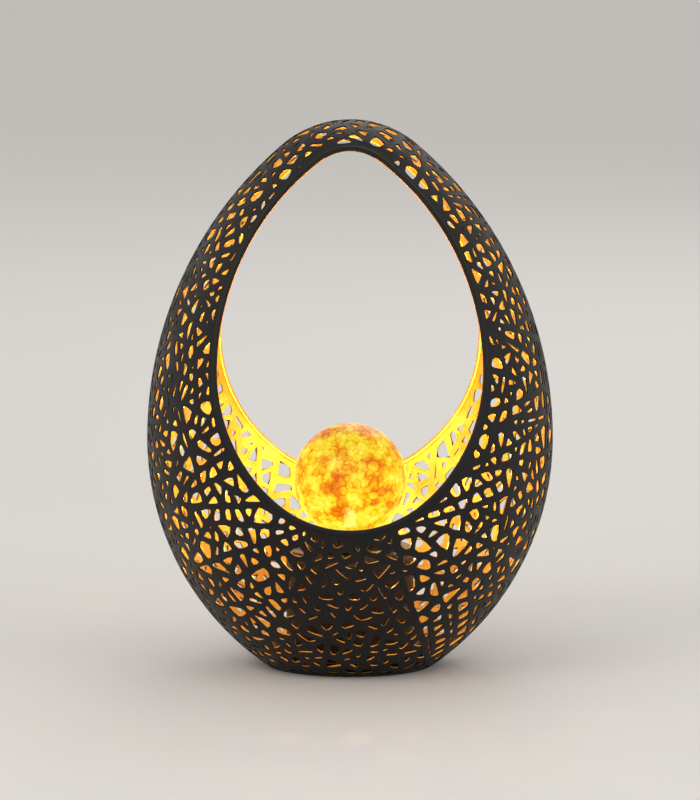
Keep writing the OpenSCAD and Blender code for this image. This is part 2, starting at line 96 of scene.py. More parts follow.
class LAMP_PG_shade(bpy.types.PropertyGroup):
    """Sizes of the shade, as in the part's own source"""

    egg_height: length("Egg height", "Height of the egg", 250 * MM)
    egg_width: length("Egg width", "Widest diameter of the egg", 185 * MM)
    widest_height: length("Widest level", "Height of the egg's widest level", 104 * MM)
    bottom_diameter: length("Bottom", "Diameter of the flat bottom", 76 * MM)
    tip_radius: length("Tip radius", "Radius of the rounded tip", 47 * MM)
    sheet: length("Sheet", "Thickness of the pierced sheet", 1.2 * MM)
    opening_width: length("Opening width", "Width of the cut-out in each half", 124 * MM)
    opening_bottom: length("Opening bottom", "Height of the cut-out's lowest point", 72.5 * MM)
    opening_middle: length("Opening middle", "Height of the cut-out's widest level", 143 * MM)
    opening_top: length("Opening top", "Height of the cut-out's highest point", 241 * MM)
    opening_tip_radius: length("Opening tip", "Radius of the cut-out's top", 25 * MM)
    opening_foot_radius: length("Opening foot", "Radius of the cut-out's bottom", 54 * MM)
    rim_wire: length("Rim wire", "Diameter of the wire that edges each opening", 2.6 * MM)
    strut: length("Strut", "Mean width of the metal between two holes", 2.4 * MM)
    strut_length: length("Strut length", "Mean length of a strut", 42 * MM)
    strut_spread: length("Strut spread", "Surface for each length of strut", 9.0 * MM)
    largest_cell: length("Largest cell", "Width of a cell that gets one more strut", 12.4 * MM)
    rim_border: length("Rim border", "Plain border along the opening", 2.2 * MM)
    seam_border: length("Seam border", "Plain border along the seam of the halves", 1.2 * MM)
    foot_border: length("Foot border", "Plain border along the bottom edge", 2.4 * MM)
    unevenness: bpy.props.FloatProperty(
        name="Unevenness", description="How far a strut's width strays from the mean", default=0.32,
        min=0.0, max=0.6, subtype="FACTOR")
    net_seed: count("Net seed", "Which random net is drawn", 11)


class LAMP_PG_globe(bpy.types.PropertyGroup):
    """Sizes of the globe's crackle and of its collar"""

    diameter: length("Diameter", "Outer diameter of the globe", 2 * globe_box[1].x)
    glass: length("Glass", "Thickness of the glass", 1.8 * MM)
    neck_radius: length("Neck radius", "Outer radius of the neck", 16 * MM)
    cells: count("Cells", "Number of cells that the cracks outline", 700)
    groove: length("Groove", "Width of a crack at the surface", 0.55 * MM)
    groove_depth: length("Groove depth", "Depth of a crack", 0.30 * MM)
    crack_seed: count("Crack seed", "Which random crackle is drawn", 5)
    ribs: count("Ribs", "Number of grip ribs round the collar", 54)
    rib_height: length("Rib height", "How far a rib stands out", 0.5 * MM)


class LAMP_PG_finish(bpy.types.PropertyGroup):
    """Colours of the lamp's finishes"""

    black: colour("Black", "Powder coat outside the shade", (0.0050, 0.0047, 0.0043))
    gold: colour("Gold", "Gold lacquer inside the shade", (0.82, 0.50, 0.080))
    gold_light: colour("Light gold", "Lighter flecks of the gold", (0.95, 0.68, 0.18))
    amber: colour("Amber", "Deep tone of the glass", (0.90, 0.27, 0.02))
    honey: colour("Honey", "Light tone of the glass", (1.0, 0.62, 0.12))
    light: colour("Light", "Colour of the lamp's light", (1.0, 0.60, 0.17))
    plastic: colour("Plastic", "Moulded plastic of the module", (0.008, 0.008, 0.0084))


class LAMP_PG_stage(bpy.types.PropertyGroup):
    """The floor, the lights and the camera"""

    floor: colour("Floor", "Colour of the floor", (0.74, 0.72, 0.69))
    sky: colour("Surround", "Colour of the surround", (0.80, 0.79, 0.78))
    elevation: bpy.props.FloatProperty(
        name="Elevation", description="Camera's angle above the table", default=math.radians(8.0),
        subtype="ANGLE")
    distance: length("Distance", "Camera's distance from the lamp", 4.0)
    aim: length("Aim", "Height that the camera looks at", 0.1215)
    lens: bpy.props.FloatProperty(
        name="Lens", description="Camera's focal length", default=395.0, min=20.0,
        subtype="DISTANCE_CAMERA")
    glow: bpy.props.FloatProperty(
        name="Glow", description="Power of the light in the globe", default=1.05, min=0.0, unit="POWER")


# Outlines

def side_offset(half_width, reach, tip):
    """How far past the middle an arc's centre lies, for an arc that runs from the side into a round tip."""
    return ((reach - tip) ** 2 - (half_width - tip) ** 2) / (2 * (half_width - tip))


def follow(arcs):
    """Points along a chain of arcs, with their distance from its start and the arcs' angle there."""
    points, along, angles, run, steps = [], [], [], 0.0, 200
    for (x, z), radius, first, last in arcs:
        turn = np.linspace(first, last, steps)
        points.append(np.stack([x + radius * np.cos(turn), z + radius * np.sin(turn)], 1))
        along.append(run + radius * (turn - first))
        angles.append(turn)
        run += radius * (last - first)
    return np.concatenate(points), np.concatenate(along), np.concatenate(angles)


def leaned(points, lean):
    """Points drawn sideways by a lean for each length up."""
    return points + np.outer(points[:, 1], (lean, 0))


class Outline:
    """The egg and its opening. A point of the shade lies on a flat chart: its distance from the
    front line round the egg at its own height, and its distance up the egg's side from the bottom."""

    def __init__(self, shade):
        self.shade = shade
        radius, foot, widest = shade.egg_width / 2, shade.bottom_diameter / 2, shade.widest_height
        belly = (foot ** 2 + widest ** 2 - radius ** 2) / (2 * (radius - foot))
        crown_length = shade.egg_height - widest
        crown = side_offset(radius, crown_length, shade.tip_radius)
        crown_angle = self.crown_angle = math.atan2(crown_length - shade.tip_radius, crown)
        egg, self.up, self.tilt = follow([
            ((-belly, widest), radius + belly, -math.asin(widest / (radius + belly)), 0),
            ((-crown, widest), radius + crown, 0, crown_angle),
            ((0, shade.egg_height - shade.tip_radius), shade.tip_radius, crown_angle, math.pi / 2),
        ])
        self.radius, self.height = np.maximum(egg[:, 0], 0), egg[:, 1]
        half, middle = shade.opening_width / 2, shade.opening_middle
        high, low = shade.opening_top - middle, middle - shade.opening_bottom
        tip, toe = shade.opening_tip_radius, shade.opening_foot_radius
        upper, lower = side_offset(half, high, tip), side_offset(half, low, toe)
        upper_angle, lower_angle = math.atan2(high - tip, upper), math.atan2(low - toe, lower)
        self.cut, self.cut_along, _ = follow([
            ((0, shade.opening_bottom + toe), toe, -math.pi / 2, -lower_angle),
            ((-lower, middle), half + lower, -lower_angle, 0),
            ((-upper, middle), half + upper, 0, upper_angle),
            ((0, shade.opening_top - tip), tip, upper_angle, math.pi / 2),
        ])

    def radius_up(self, up):
        return np.interp(up, self.up, self.radius)

    def lean(self, point):
        """How far the chart leans sideways at a point, for each length up the egg's side."""
        across, up = point
        turn = np.clip(across / max(self.radius_up(up), 1e-6), -math.pi / 2, math.pi / 2)
        return turn * math.sin(np.interp(up, self.up, self.tilt))

    def flat(self, cell):
        """A cell of the chart as it lies on the egg, without the chart's lean."""
        return leaned(cell, self.lean(cell.mean(0)))

    def surface(self, chart):
        """Points of the egg and its outward normals for points of the chart."""
        across, up = np.asarray(chart, float).T
        radius = np.maximum(self.radius_up(up), 1e-9)
        turn = np.clip(across / radius, -math.pi / 2, math.pi / 2)
        tilt = np.interp(up, self.up, self.tilt)
        right, front, height = np.sin(turn), -np.cos(turn), np.interp(up, self.up, self.height)
        points = np.stack([radius * right, radius * front, height], 1)
        out = np.stack([np.cos(tilt) * right, np.cos(tilt) * front, np.sin(tilt)], 1)
        return points, out

    def onto(self, points):
        """Points brought onto the egg along its normal."""
        tip, top = self.shade.tip_radius, np.array([0, 0, self.shade.egg_height - self.shade.tip_radius])
        spoke = points - top
        far = np.linalg.norm(spoke, axis=1)[:, None]
        reach = np.hypot(points[:, 0], points[:, 1])
        tilt = np.interp(points[:, 2], self.height, self.tilt)
        off = (reach - np.interp(points[:, 2], self.height, self.radius)) * np.cos(tilt)
        flat = points[:, :2] / np.maximum(reach, 1e-9)[:, None]
        out = np.column_stack([flat * np.cos(tilt)[:, None], np.sin(tilt)])
        at_tip = spoke[:, 2:] > far * math.sin(self.crown_angle)
        return np.where(at_tip, top + spoke / far * tip, points - off[:, None] * out)

    def rim_loop(self, pieces):
        """The opening's edge on the chart, from its lowest point to the right and round."""
        total = self.cut_along[-1]
        along = np.linspace(0, 2 * total, pieces, endpoint=False)
        folded = np.where(along <= total, along, 2 * total - along)
        side = np.where(along <= total, 1, -1)
        x = side * np.interp(folded, self.cut_along, self.cut[:, 0])
        z = np.interp(folded, self.cut_along, self.cut[:, 1])
        up = np.interp(z, self.height, self.up)
        radius = self.radius_up(up)
        return np.stack([radius * np.arcsin(np.clip(x / radius, -1, 1)), up], 1)

    def edge_loop(self, spacing):
        """The bottom edge and the seam on the chart, round the same way."""
        foot = math.pi / 2 * self.radius[0]
        bottom = np.linspace(0, foot, int(foot / spacing) + 1)
        up = np.linspace(0, self.up[-1], int(self.up[-1] / spacing) + 1)
        right = [(x, 0.0) for x in bottom] + [(math.pi / 2 * self.radius_up(s), s) for s in up[1:-1]]
        left = [(-x, s) for x, s in right[:0:-1]]
        return np.array(right + [(0.0, self.up[-1])] + left)


# Net of the shade

def in_loop(points, loop):
    """Whether each point lies inside a closed loop."""
    x, y = points[:, :1], points[:, 1:]
    ax, ay = loop.T
    bx, by = np.roll(loop, -1, 0).T
    crosses = (ay > y) != (by > y)
    reach = (bx - ax) * (y - ay) / np.where(by == ay, 1e-12, by - ay) + ax
    return (crosses & (x < reach)).sum(1) % 2 == 1


def on_sheet(points, rim, edge):
    """Whether each point of the chart lies between the opening and the outer edge."""
    return in_loop(points, edge) & ~in_loop(points, rim)


def strut_through(middle, lean, strut_length, rim, edge, rng):
    """A straight strut through a point, cut off at the edges: its ends, points along it and its length."""
    step, stride = 0.5 * MM, 6
    turn = rng.uniform(0, math.pi)
    way = np.array([math.cos(turn) - lean * math.sin(turn), math.sin(turn)])
    half = strut_length * rng.uniform(0.25, 0.75)
    run = np.arange(-half, half + step, step)
    points = middle + run[:, None] * way
    centre, out = len(run) // 2, np.flatnonzero(~on_sheet(points, rim, edge))
    first = max(out[out < centre], default=0)
    last = min(out[out > centre], default=len(run) - 1)
    ends = (middle + run[first] * way, middle + run[last] * way)
    return ends, points[first:last + 1:stride], run[last] - run[first]


def room_around(points, others, lean, farthest):
    """How far points lie from the nearest of the others, on the mean and up to a distance."""
    room = np.full(len(points), farthest)
    if len(others):
        gaps = ((leaned(points, lean)[:, None] - leaned(others, lean)[None]) ** 2).sum(2)
        room = np.minimum(farthest, np.sqrt(gaps.min(1)))
    return room.mean()


def spread_struts(outline, rim, edge, rng):
    """Straight struts that cross each other, each put where the sheet is emptiest of a few tries."""
    shade, tries, throws, fewest_points = outline.shade, 12, 20000, 3
    farthest = 2.5 * shade.strut_spread
    reach = (edge.min(0), edge.max(0))
    thrown = rng.uniform(*reach, (throws, 2))
    covered = on_sheet(thrown, rim, edge)
    area = covered.mean() * np.prod(reach[1] - reach[0])
    places = thrown[covered]
    wanted, drawn = area / shade.strut_spread, 0.0
    struts, samples = [], np.zeros((0, 2))
    while drawn < wanted:
        found = []
        for _ in range(tries):
            middle = places[rng.integers(len(places))]
            lean = outline.lean(middle)
            ends, points, run = strut_through(middle, lean, shade.strut_length, rim, edge, rng)
            if len(points) >= fewest_points:
                found.append((room_around(points, samples, lean, farthest), ends, points, run))
        _, ends, points, run = max(found, key=lambda strut: strut[0])
        struts.append(ends)
        samples = np.vstack([samples, points])
        drawn += run
    return np.array(struts)


def lengthen(struts, rim, edge):
    """Draws each loose end of a strut on to the next strut or edge."""
    start = np.vstack([struts[:, 0], rim, edge])
    end = np.vstack([struts[:, 1], np.roll(rim, -1, 0), np.roll(edge, -1, 0)])
    run, drawn, past = end - start, struts.copy(), 0.05 * MM
    for i, strut in enumerate(struts):
        for side in (0, 1):
            tip = strut[side]
            if not on_sheet(tip[None], rim, edge)[0]:
                continue
            way = tip - strut[1 - side]
            way = way / np.linalg.norm(way)
            slant = np.cross(way, run)
            slant[i] = 0
            slant = np.where(np.abs(slant) < 1e-12, np.inf, slant)
            ahead = np.cross(start - tip, run) / slant
            place = np.cross(start - tip, way) / slant
            met = (ahead > 0) & (place >= 0) & (place <= 1) & np.isfinite(slant)
            if met.any():
                drawn[i, side] += way * (ahead[met].min() + past)
    return drawn


def prune(links):
    """The links left when every loose end is taken away."""
    links = set(links)
    while True:
        ends = {}
        for link in links:
            for corner in link:
                ends[corner] = ends.get(corner, 0) + 1
        loose = {link for link in links if ends[link[0]] == 1 or ends[link[1]] == 1}
        if not loose:
            return links
        links -= loose


def meet(points, links):
    """The points and links of crossing lines, and the cells between them."""
    mesh_faces, nearest = 3, 1e-7
    used = sorted({c for link in links for c in link})
    place = {c: i for i, c in enumerate(used)}
    lines = [(place[a], place[b]) for a, b in links]
    made = delaunay_2d_cdt([Vector(points[c]) for c in used], lines, [], mesh_faces, nearest)
    corners, pieces, cells = made[:3]
    return np.array([tuple(c) for c in corners]), [tuple(p) for p in pieces], cells


def unite(points, links, firm, on_edge, nearest):
    """Draws together corners that lie closer than a distance. Firm corners stay where they are."""
    lead = list(range(len(points)))

    def head(i):
        while lead[i] != i:
            i = lead[i]
        return i

    rank = [2 if i in firm else 1 if i in on_edge else 0 for i in range(len(points))]
    by_length = sorted(links, key=lambda link: np.linalg.norm(points[link[0]] - points[link[1]]))
    for a, b in by_length:
        a, b = head(a), head(b)
        if a == b or np.linalg.norm(points[a] - points[b]) > nearest or min(rank[a], rank[b]) == 2:
            continue
        if rank[a] < rank[b]:
            a, b = b, a
        if rank[a] == rank[b] == 0:
            points[a] = (points[a] + points[b]) / 2
        lead[b] = a
    joined = {tuple(sorted((head(a), head(b)))) for a, b in links}
    return points, sorted(link for link in joined if link[0] != link[1])


def without_spurs(cell):
    """A cell's corners without any line that runs in and back out."""
    cell, i = list(cell), 0
    while i < len(cell) and len(cell) > 2:
        if cell[i - 1] == cell[(i + 1) % len(cell)]:
            drop = {i, (i + 1) % len(cell)}
            cell = [c for k, c in enumerate(cell) if k not in drop]
            i = 0
        else:
            i += 1
    return cell


def chord(cell, rng):
    """A strut's ends across the long way of a cell, just past its sides, or None."""
    past, sway = 0.02 * MM, 0.6
    after = np.roll(cell, -1, 0)
    lengths = np.linalg.norm(after - cell, axis=1)
    middle = ((cell + after) / 2 * lengths[:, None]).sum(0) / lengths.sum()
    spread = np.linalg.eigh(np.cov((cell - middle).T))[1][:, 0]
    turn = math.atan2(spread[1], spread[0]) + rng.uniform(-sway, sway)
    way = np.array([math.cos(turn), math.sin(turn)])
    across = np.array([-way[1], way[0]])
    first, last = (cell - middle) @ across, (after - middle) @ across
    hit = np.sign(first) != np.sign(last)
    share = (first / np.where(first == last, 1, first - last))[hit]
    reach = np.sort(((cell[hit] + (after - cell)[hit] * share[:, None]) - middle) @ way)
    start, end = max(zip(reach[::2], reach[1::2]), key=lambda r: r[1] - r[0], default=(0, 0))
    if end <= start:
        return None
    return np.array([middle + way * (start - past), middle + way * (end + past)])


def shoelace(cell):
    """The area of a flat cell."""
    return np.abs(np.cross(cell, np.roll(cell, -1, 0)).sum()) / 2


def too_large(cell, limit):
    """Whether a cell is wider than a limit, or long and not slender."""
    way = np.linalg.eigh(np.cov((cell - cell.mean(0)).T))[1][:, 1]
    area, longest, slender = shoelace(cell), 1.3 * limit, limit ** 2 / 3
    return area > limit ** 2 or (np.ptp(cell @ way) > longest and area > slender)


def flat_hole(outline, cell):
    """The size of the hole that a cell of the chart leaves, or 0."""
    level = np.pad(outline.flat(cell), ((0, 0), (0, 1)))
    hole = hole_in(level, [outline.shade.strut / 2] * len(cell))
    return 0.0 if hole is None else shoelace(hole[:, :2])


def needless_sides(outline, corners, cells):
    """The sides that close a cell and that leave a larger hole when they are taken away."""
    holes = [flat_hole(outline, corners[cell]) for cell in cells]
    owner = {pair: i for i, cell in enumerate(cells) for pair in zip(cell, cell[1:] + cell[:1])}
    taken, found = set(), set()
    for i, cell in enumerate(cells):
        best = (0.0, None, None)
        for at, (a, b) in enumerate(zip(cell, cell[1:] + cell[:1])):
            j = owner.get((b, a))
            if holes[i] or j is None or j == i or j in taken or i in taken:
                continue
            start = cells[j].index(b)
            rest = (cells[j] * 2)[start + 2:start + len(cells[j])]
            both = (cell * 2)[at + 1:at + 1 + len(cell)] + rest
            gain = flat_hole(outline, corners[both]) - holes[j]
            best = max(best, (gain, (a, b), j), key=lambda choice: choice[0])
        if best[1]:
            taken |= {i, best[2]}
            found.add(frozenset(best[1]))
    return found


def ring_links(first, number):
    """Links round a closed loop of points."""
    return [(first + i, first + (i + 1) % number) for i in range(number)]


def pair_links(first, number):
    """Links between points that follow each other two by two."""
    return [(first + 2 * i, first + 2 * i + 1) for i in range(number)]


def side_uses(cells):
    """How many cells share each side."""
    uses = {}
    for cell in cells:
        for pair in zip(cell, cell[1:] + cell[:1]):
            side = frozenset(pair)
            uses[side] = uses.get(side, 0) + 1
    return uses


def cells_between(points, links, rim):
    """Corners, links and cells of crossing lines, without loose ends and without the opening."""
    corners, links, _ = meet(points, links)
    corners, links, cells = meet(corners, sorted(prune(links)))
    cells = [c for c in map(without_spurs, cells) if len(c) > 2]
    opening = min(cells, key=lambda c: abs(shoelace(corners[c]) - shoelace(rim)))
    return corners, links, [c for c in cells if c is not opening]


def struts_across(outline, corners, cells, rng):
    """The ends of one more strut across each large cell."""
    ends = []
    for cell in cells:
        lean = outline.lean(corners[cell].mean(0))
        flat = leaned(corners[cell], lean)
        limit = outline.shade.largest_cell * rng.uniform(0.85, 1.15)
        strut = chord(flat, rng) if too_large(flat, limit) else None
        if strut is not None:
            ends.extend(leaned(strut, -lean))
    return ends


def draw_net(outline, seed):
    """Corners on the chart and cells of one half's net: struts that cross, one more across each large cell,
    and then without the sides that close a cell."""
    rng, spacing, nearest = np.random.default_rng(seed), 4 * MM, 0.8 * outline.shade.strut
    most_splits, clearings = 14, 3
    edge = outline.edge_loop(spacing)
    rim = outline.rim_loop(int(2 * outline.cut_along[-1] / spacing))
    struts = lengthen(spread_struts(outline, rim, edge, rng), rim, edge)
    loops = np.vstack([rim, edge])
    links = ring_links(0, len(rim)) + ring_links(len(rim), len(edge)) + pair_links(len(loops), len(struts))
    corners, links, cells = cells_between(np.vstack([loops, struts.reshape(-1, 2)]), links, rim)
    for _ in range(most_splits):
        ends = struts_across(outline, corners, cells, rng)
        if not ends:
            break
        links += pair_links(len(corners), len(ends) // 2)
        corners, links, cells = cells_between(np.vstack([corners, ends]), links, rim)
    on_edge = {c for side, uses in side_uses(cells).items() if uses == 1 for c in side}
    firm = {i for i in on_edge if np.abs(loops - corners[i]).sum(1).min() < ON_EDGE}
    corners, links = unite(corners, links, firm, on_edge, nearest)
    corners, links, cells = cells_between(corners, links, rim)
    for _ in range(clearings):
        needless = needless_sides(outline, corners, cells)
        kept = [link for link in links if frozenset(link) not in needless]
        corners, links, cells = cells_between(corners, kept, rim)
    return corners, cells


def clip(outline, start, inward, inset):
    """The part of a flat outline that lies at least an inset inside a line."""
    depth = (outline - start) @ inward - inset
    kept = []
    for i in range(len(outline)):
        a, b, at, bt = outline[i - 1], outline[i], depth[i - 1], depth[i]
        if (at < 0) != (bt < 0):
            kept.append(a + (b - a) * at / (at - bt))
        if bt >= 0:
            kept.append(b)
    return np.array(kept).reshape(-1, 2)


def flat_inset(flat, insets):
    """What is left of a flat cell when its sides move in. At a corner that points inwards, one line across
    the corner takes the place of its two sides."""
    way = np.roll(flat, -1, 0) - flat
    way /= np.linalg.norm(way, axis=1)[:, None]
    inward = np.stack([-way[:, 1], way[:, 0]], 1)
    hole, straight = flat, -0.05
    bent = np.cross(np.roll(way, 1, 0), way) < straight
    for k in range(len(flat)):
        if not bent[k] and not bent[(k + 1) % len(flat)]:
            hole = clip(hole, flat[k], inward[k], insets[k])
        if bent[k] and len(hole) > 2:
            between = inward[k - 1] + inward[k]
            hole = clip(hole, flat[k], between / np.linalg.norm(between), max(insets[k - 1], insets[k]))
        if len(hole) < 3:
            return None
    return hole


def hole_in(points, insets):
    """For each corner of a cell, the corner of the hole that is left when its sides move in by the insets,
    or None if there is no room."""
    after = np.roll(points, -1, 0)
    normal = np.cross(points, after).sum(0)
    normal /= np.linalg.norm(normal)
    right = after[0] - points[0]
    right /= np.linalg.norm(right)
    axes = np.stack([right, np.cross(normal, right)])
    middle = points.mean(0)
    flat = (points - middle) @ axes.T
    hole = flat_inset(flat, insets)
    if hole is None:
        return None
    nearest = ((flat[:, None] - hole[None]) ** 2).sum(2).argmin(1)
    for i in range(2 * len(nearest)):
        k = i % len(nearest)
        if (nearest[k] - nearest[k - 1]) % len(hole) > len(hole) / 2:
            nearest[k] = nearest[k - 1]
    hole = hole[nearest]
    around = np.linalg.norm(np.roll(hole, -1, 0) - hole, axis=1).sum()
    if len(set(nearest)) < 3 or shoelace(hole) < SLIT / 2 * around:
        return None
    return middle + hole @ axes


def mark(mesh, name, kind, domain, values):
    """Stores a value for each point, corner or face of a mesh."""
    key = "vector" if kind == "FLOAT_VECTOR" else "value"
    mesh.attributes.new(name, kind, domain).data.foreach_set(key, np.ravel(values))


def net_mesh(outline, name, seed, facing):
    """One half's net as a sheet of cells. Each cell's corner holds where its hole's corner lies."""
    shade, rng = outline.shade, np.random.default_rng(seed)
    corners, cells = draw_net(outline, seed)
    used = sorted({c for cell in cells for c in cell})
    places = {c: i for i, c in enumerate(used)}
    cells = [[places[c] for c in cell] for cell in cells]
    chart = corners[used]
    points, out = outline.surface(chart)
    seam = math.pi / 2 * outline.radius_up(chart[:, 1])
    at_foot = chart[:, 1] < ON_EDGE
    at_seam = np.abs(np.abs(chart[:, 0]) - seam) < ON_SEAM
    uses = side_uses(cells)
    thinnest, thickest = 1 - shade.unevenness, 1 + shade.unevenness
    width = {side: shade.strut * rng.uniform(thinnest, thickest) for side in uses}

    def inset(a, b):
        side = frozenset((a, b))
        if uses[side] == 2:
            return width[side] / 2
        if at_foot[a] and at_foot[b]:
            return shade.foot_border
        return shade.seam_border if at_seam[a] and at_seam[b] else shade.rim_border

    moves, pierced = [], []
    for cell in cells:
        insets = np.array([inset(a, b) for a, b in zip(cell, cell[1:] + cell[:1])])
        hole = hole_in(points[cell], insets)
        pierced.append(hole is not None)
        moves.append((points[cell] if hole is None else outline.onto(hole)) - points[cell])
    mesh = bpy.data.meshes.new(name)
    mesh.from_pydata(points * facing, [], cells, shade_flat=False)
    mark(mesh, "inset", "FLOAT_VECTOR", "CORNER", np.concatenate(moves) * facing / (shade.strut / 2))
    mark(mesh, "pierced", "BOOLEAN", "FACE", pierced)
    mark(mesh, "outward", "FLOAT_VECTOR", "POINT", out * facing)
    return mesh


# Globe and collar

def mesh_from(bm, name):
    """A new mesh of what has been built."""
    mesh = bpy.data.meshes.new(name)
    bm.to_mesh(mesh)
    bm.free()
    return mesh


def seed_ball(globe):
    """A ball of flat sides between points that are spread evenly and then shaken."""
    rng, shake = np.random.default_rng(globe.crack_seed), 2.5 / math.sqrt(globe.cells)
    order = np.arange(globe.cells) + 0.5
    rise, turn = 1 - 2 * order / globe.cells, order * math.pi * (3 - math.sqrt(5))
    reach = np.sqrt(1 - rise ** 2)
    seeds = np.stack([reach * np.cos(turn), reach * np.sin(turn), rise], 1)
    seeds += rng.normal(0, shake, seeds.shape)
    seeds *= globe.diameter / 2 / np.linalg.norm(seeds, axis=1)[:, None]
    bm = bmesh.new()
    bmesh.ops.convex_hull(bm, input=[bm.verts.new(p) for p in seeds])
    return mesh_from(bm, "globe_seeds")


def blow_globe(mesh, globe):
    """Brings the crackled ball to its place, cuts its foot off and draws the neck and the inner wall on."""
    radius, neck = globe.diameter / 2, globe.neck_radius
    middle, bottom = globe_box[1].z - radius, globe_box[0].z
    shoulder = middle - math.sqrt(radius ** 2 - neck ** 2)
    above, below, turns, last_turn = 0.4 * MM, 0.8 * MM, 26, math.pi - 0.04
    inner, wall = radius - globe.glass, neck - globe.glass
    path = [(neck, shoulder - below), (neck, bottom), (wall, bottom)]
    path += [(inner * math.sin(a), middle - inner * math.cos(a))
             for a in np.linspace(math.asin(wall / inner), last_turn, turns)]
    bm = bmesh.new()
    bm.from_mesh(mesh)
    bmesh.ops.translate(bm, verts=bm.verts, vec=(0, 0, middle))
    bmesh.ops.bisect_plane(bm, geom=bm.verts[:] + bm.edges[:] + bm.faces[:], dist=1e-7,
                           plane_co=(0, 0, shoulder + above), plane_no=(0, 0, 1), clear_inner=True)
    ring = [e for e in bm.edges if e.is_boundary]
    for reach, z in path:
        made = bmesh.ops.extrude_edge_only(bm, edges=ring)["geom"]
        ring = [g for g in made if isinstance(g, bmesh.types.BMEdge)]
        for v in {v for e in ring for v in e.verts}:
            flat = Vector((v.co.x, v.co.y, 0)).normalized() * reach
            v.co = (flat.x, flat.y, z)
    bmesh.ops.pointmerge(bm, verts=list({v for e in ring for v in e.verts}), merge_co=(0, 0, middle + inner))
    bmesh.ops.recalc_face_normals(bm, faces=bm.faces)
    for f in bm.faces:
        f.smooth = True
    bm.to_mesh(mesh)
    bm.free()


def turn_collar(globe, body):
    """The collar's plain body, turned from its profile: a flange below and a chamfer above."""
    low, high, rim = collar_box[0].z, collar_box[1].z, collar_box[1].x
    bore, edge, chamfer = globe.neck_radius + 0.3 * MM, 0.4 * MM, 0.7 * MM
    flange, shoulder = low + 1.6 * MM, low + 2.1 * MM
    profile = [(bore, low), (rim - edge, low), (rim, low + edge), (rim, flange), (body, shoulder),
               (body, high - chamfer), (body - chamfer, high), (bore, high)]
    bm = bmesh.new()
    ring = [bm.verts.new((r, 0, z)) for r, z in profile]
    sides = [bm.edges.new((a, b)) for a, b in zip(ring, ring[1:] + ring[:1])]
    bmesh.ops.spin(bm, geom=ring + sides, cent=(0, 0, 0), axis=(0, 0, 1), angle=2 * math.pi, steps=108)
    bmesh.ops.remove_doubles(bm, verts=bm.verts, dist=1e-6)
    bmesh.ops.recalc_face_normals(bm, faces=bm.faces)
    return mesh_from(bm, "collar_body")


# Node trees

class Tree:
    """A geometry node tree under construction, with named inputs."""

    def __init__(self, name, inputs):
        self.tree = bpy.data.node_groups.new(name, "GeometryNodeTree")
        face = self.tree.interface
        face.new_socket("Geometry", in_out="INPUT", socket_type="NodeSocketGeometry")
        self.sockets = {
            label: face.new_socket(label, in_out="INPUT", socket_type="NodeSocket" + kind).identifier
            for label, kind in inputs}
        face.new_socket("Geometry", in_out="OUTPUT", socket_type="NodeSocketGeometry")
        self.entry = self.tree.nodes.new("NodeGroupInput").outputs

    def add(self, kind, *inputs, out=0, **settings):
        """A node whose inputs are sockets or plain values, by place or by name. Gives one of its outputs."""
        return self.node(kind, *inputs, **settings).outputs[out]

    def node(self, kind, *inputs, **settings):
        """The same, with the whole node given."""
        node = self.tree.nodes.new(kind)
        named = {k[3:]: settings.pop(k) for k in list(settings) if k.startswith("in_")}
        for key, value in settings.items():
            setattr(node, key, value)
        for i, value in list(enumerate(inputs)) + list(named.items()):
            socket = node.inputs[i if isinstance(i, int) else i.replace("_", " ")]
            if isinstance(value, bpy.types.NodeSocket):
                self.tree.links.new(value, socket)
            elif value is not None:
                socket.default_value = value
        return node

    def math(self, operation, *values):
        return self.add("ShaderNodeMath", *values, operation=operation)

    def vector(self, operation, *values, out=0):
        return self.add("ShaderNodeVectorMath", *values, operation=operation, out=out)

    def scaled(self, vector, factor):
        return self.add("ShaderNodeVectorMath", vector, operation="SCALE", in_Scale=factor)

    def border(self, field):
        """The edges between what a field marks and what it doesn't."""
        share = self.add("GeometryNodeFieldOnDomain", field, domain="EDGE", data_type="FLOAT")
        return self.math("COMPARE", share, 0.5, 0.2)

    def attribute(self, name, kind="FLOAT"):
        return self.add("GeometryNodeInputNamedAttribute", name, data_type=kind)

    def store(self, geometry, name, domain, value, kind="FLOAT"):
        return self.add("GeometryNodeStoreNamedAttribute", geometry, in_Name=name, in_Value=value,
                        data_type=kind, domain=domain)

    def join(self, *parts):
        node = self.tree.nodes.new("GeometryNodeJoinGeometry")
        for part in reversed(parts):
            self.tree.links.new(part, node.inputs[0])
        return node.outputs[0]

    def close(self, geometry, *materials):
        """Ends the tree: plain geometry with its materials, each given with where it goes."""
        geometry = self.add("GeometryNodeRealizeInstances", geometry)
        for where, material in materials:
            geometry = self.add("GeometryNodeSetMaterial", geometry, in_Selection=where,
                                in_Material=material)
        self.tree.links.new(geometry, self.tree.nodes.new("NodeGroupOutput").inputs[0])
        return self


def shape(name, mesh, made, values):
    """An object whose plain mesh is what the tree makes of the given one."""
    obj = bpy.data.objects.new(name, mesh)
    bpy.context.scene.collection.objects.link(obj)
    modifier = obj.modifiers.new(made.tree.name, "NODES")
    modifier.node_group = made.tree
    for label, value in values.items():
        modifier[made.sockets[label]] = value
    graph = bpy.context.evaluated_depsgraph_get()
    plain = bpy.data.meshes.new_from_object(
        obj.evaluated_get(graph), preserve_all_data_layers=True, depsgraph=graph)
    obj.modifiers.remove(modifier)
    # The given mesh has no material, and its empty slot comes first
    if plain.materials and plain.materials[0] is None:
        plain.materials.pop(index=0)
    obj.data = plain
    bpy.data.meshes.remove(mesh)
    plain.name = name
    if not len(plain.polygons):
        raise RuntimeError(name + " came out empty")
    return obj


def settle(obj, body, slot, *nodes):
    """Puts a finished piece on its body in place of its nodes."""
    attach(obj, body)
    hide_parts(*nodes)


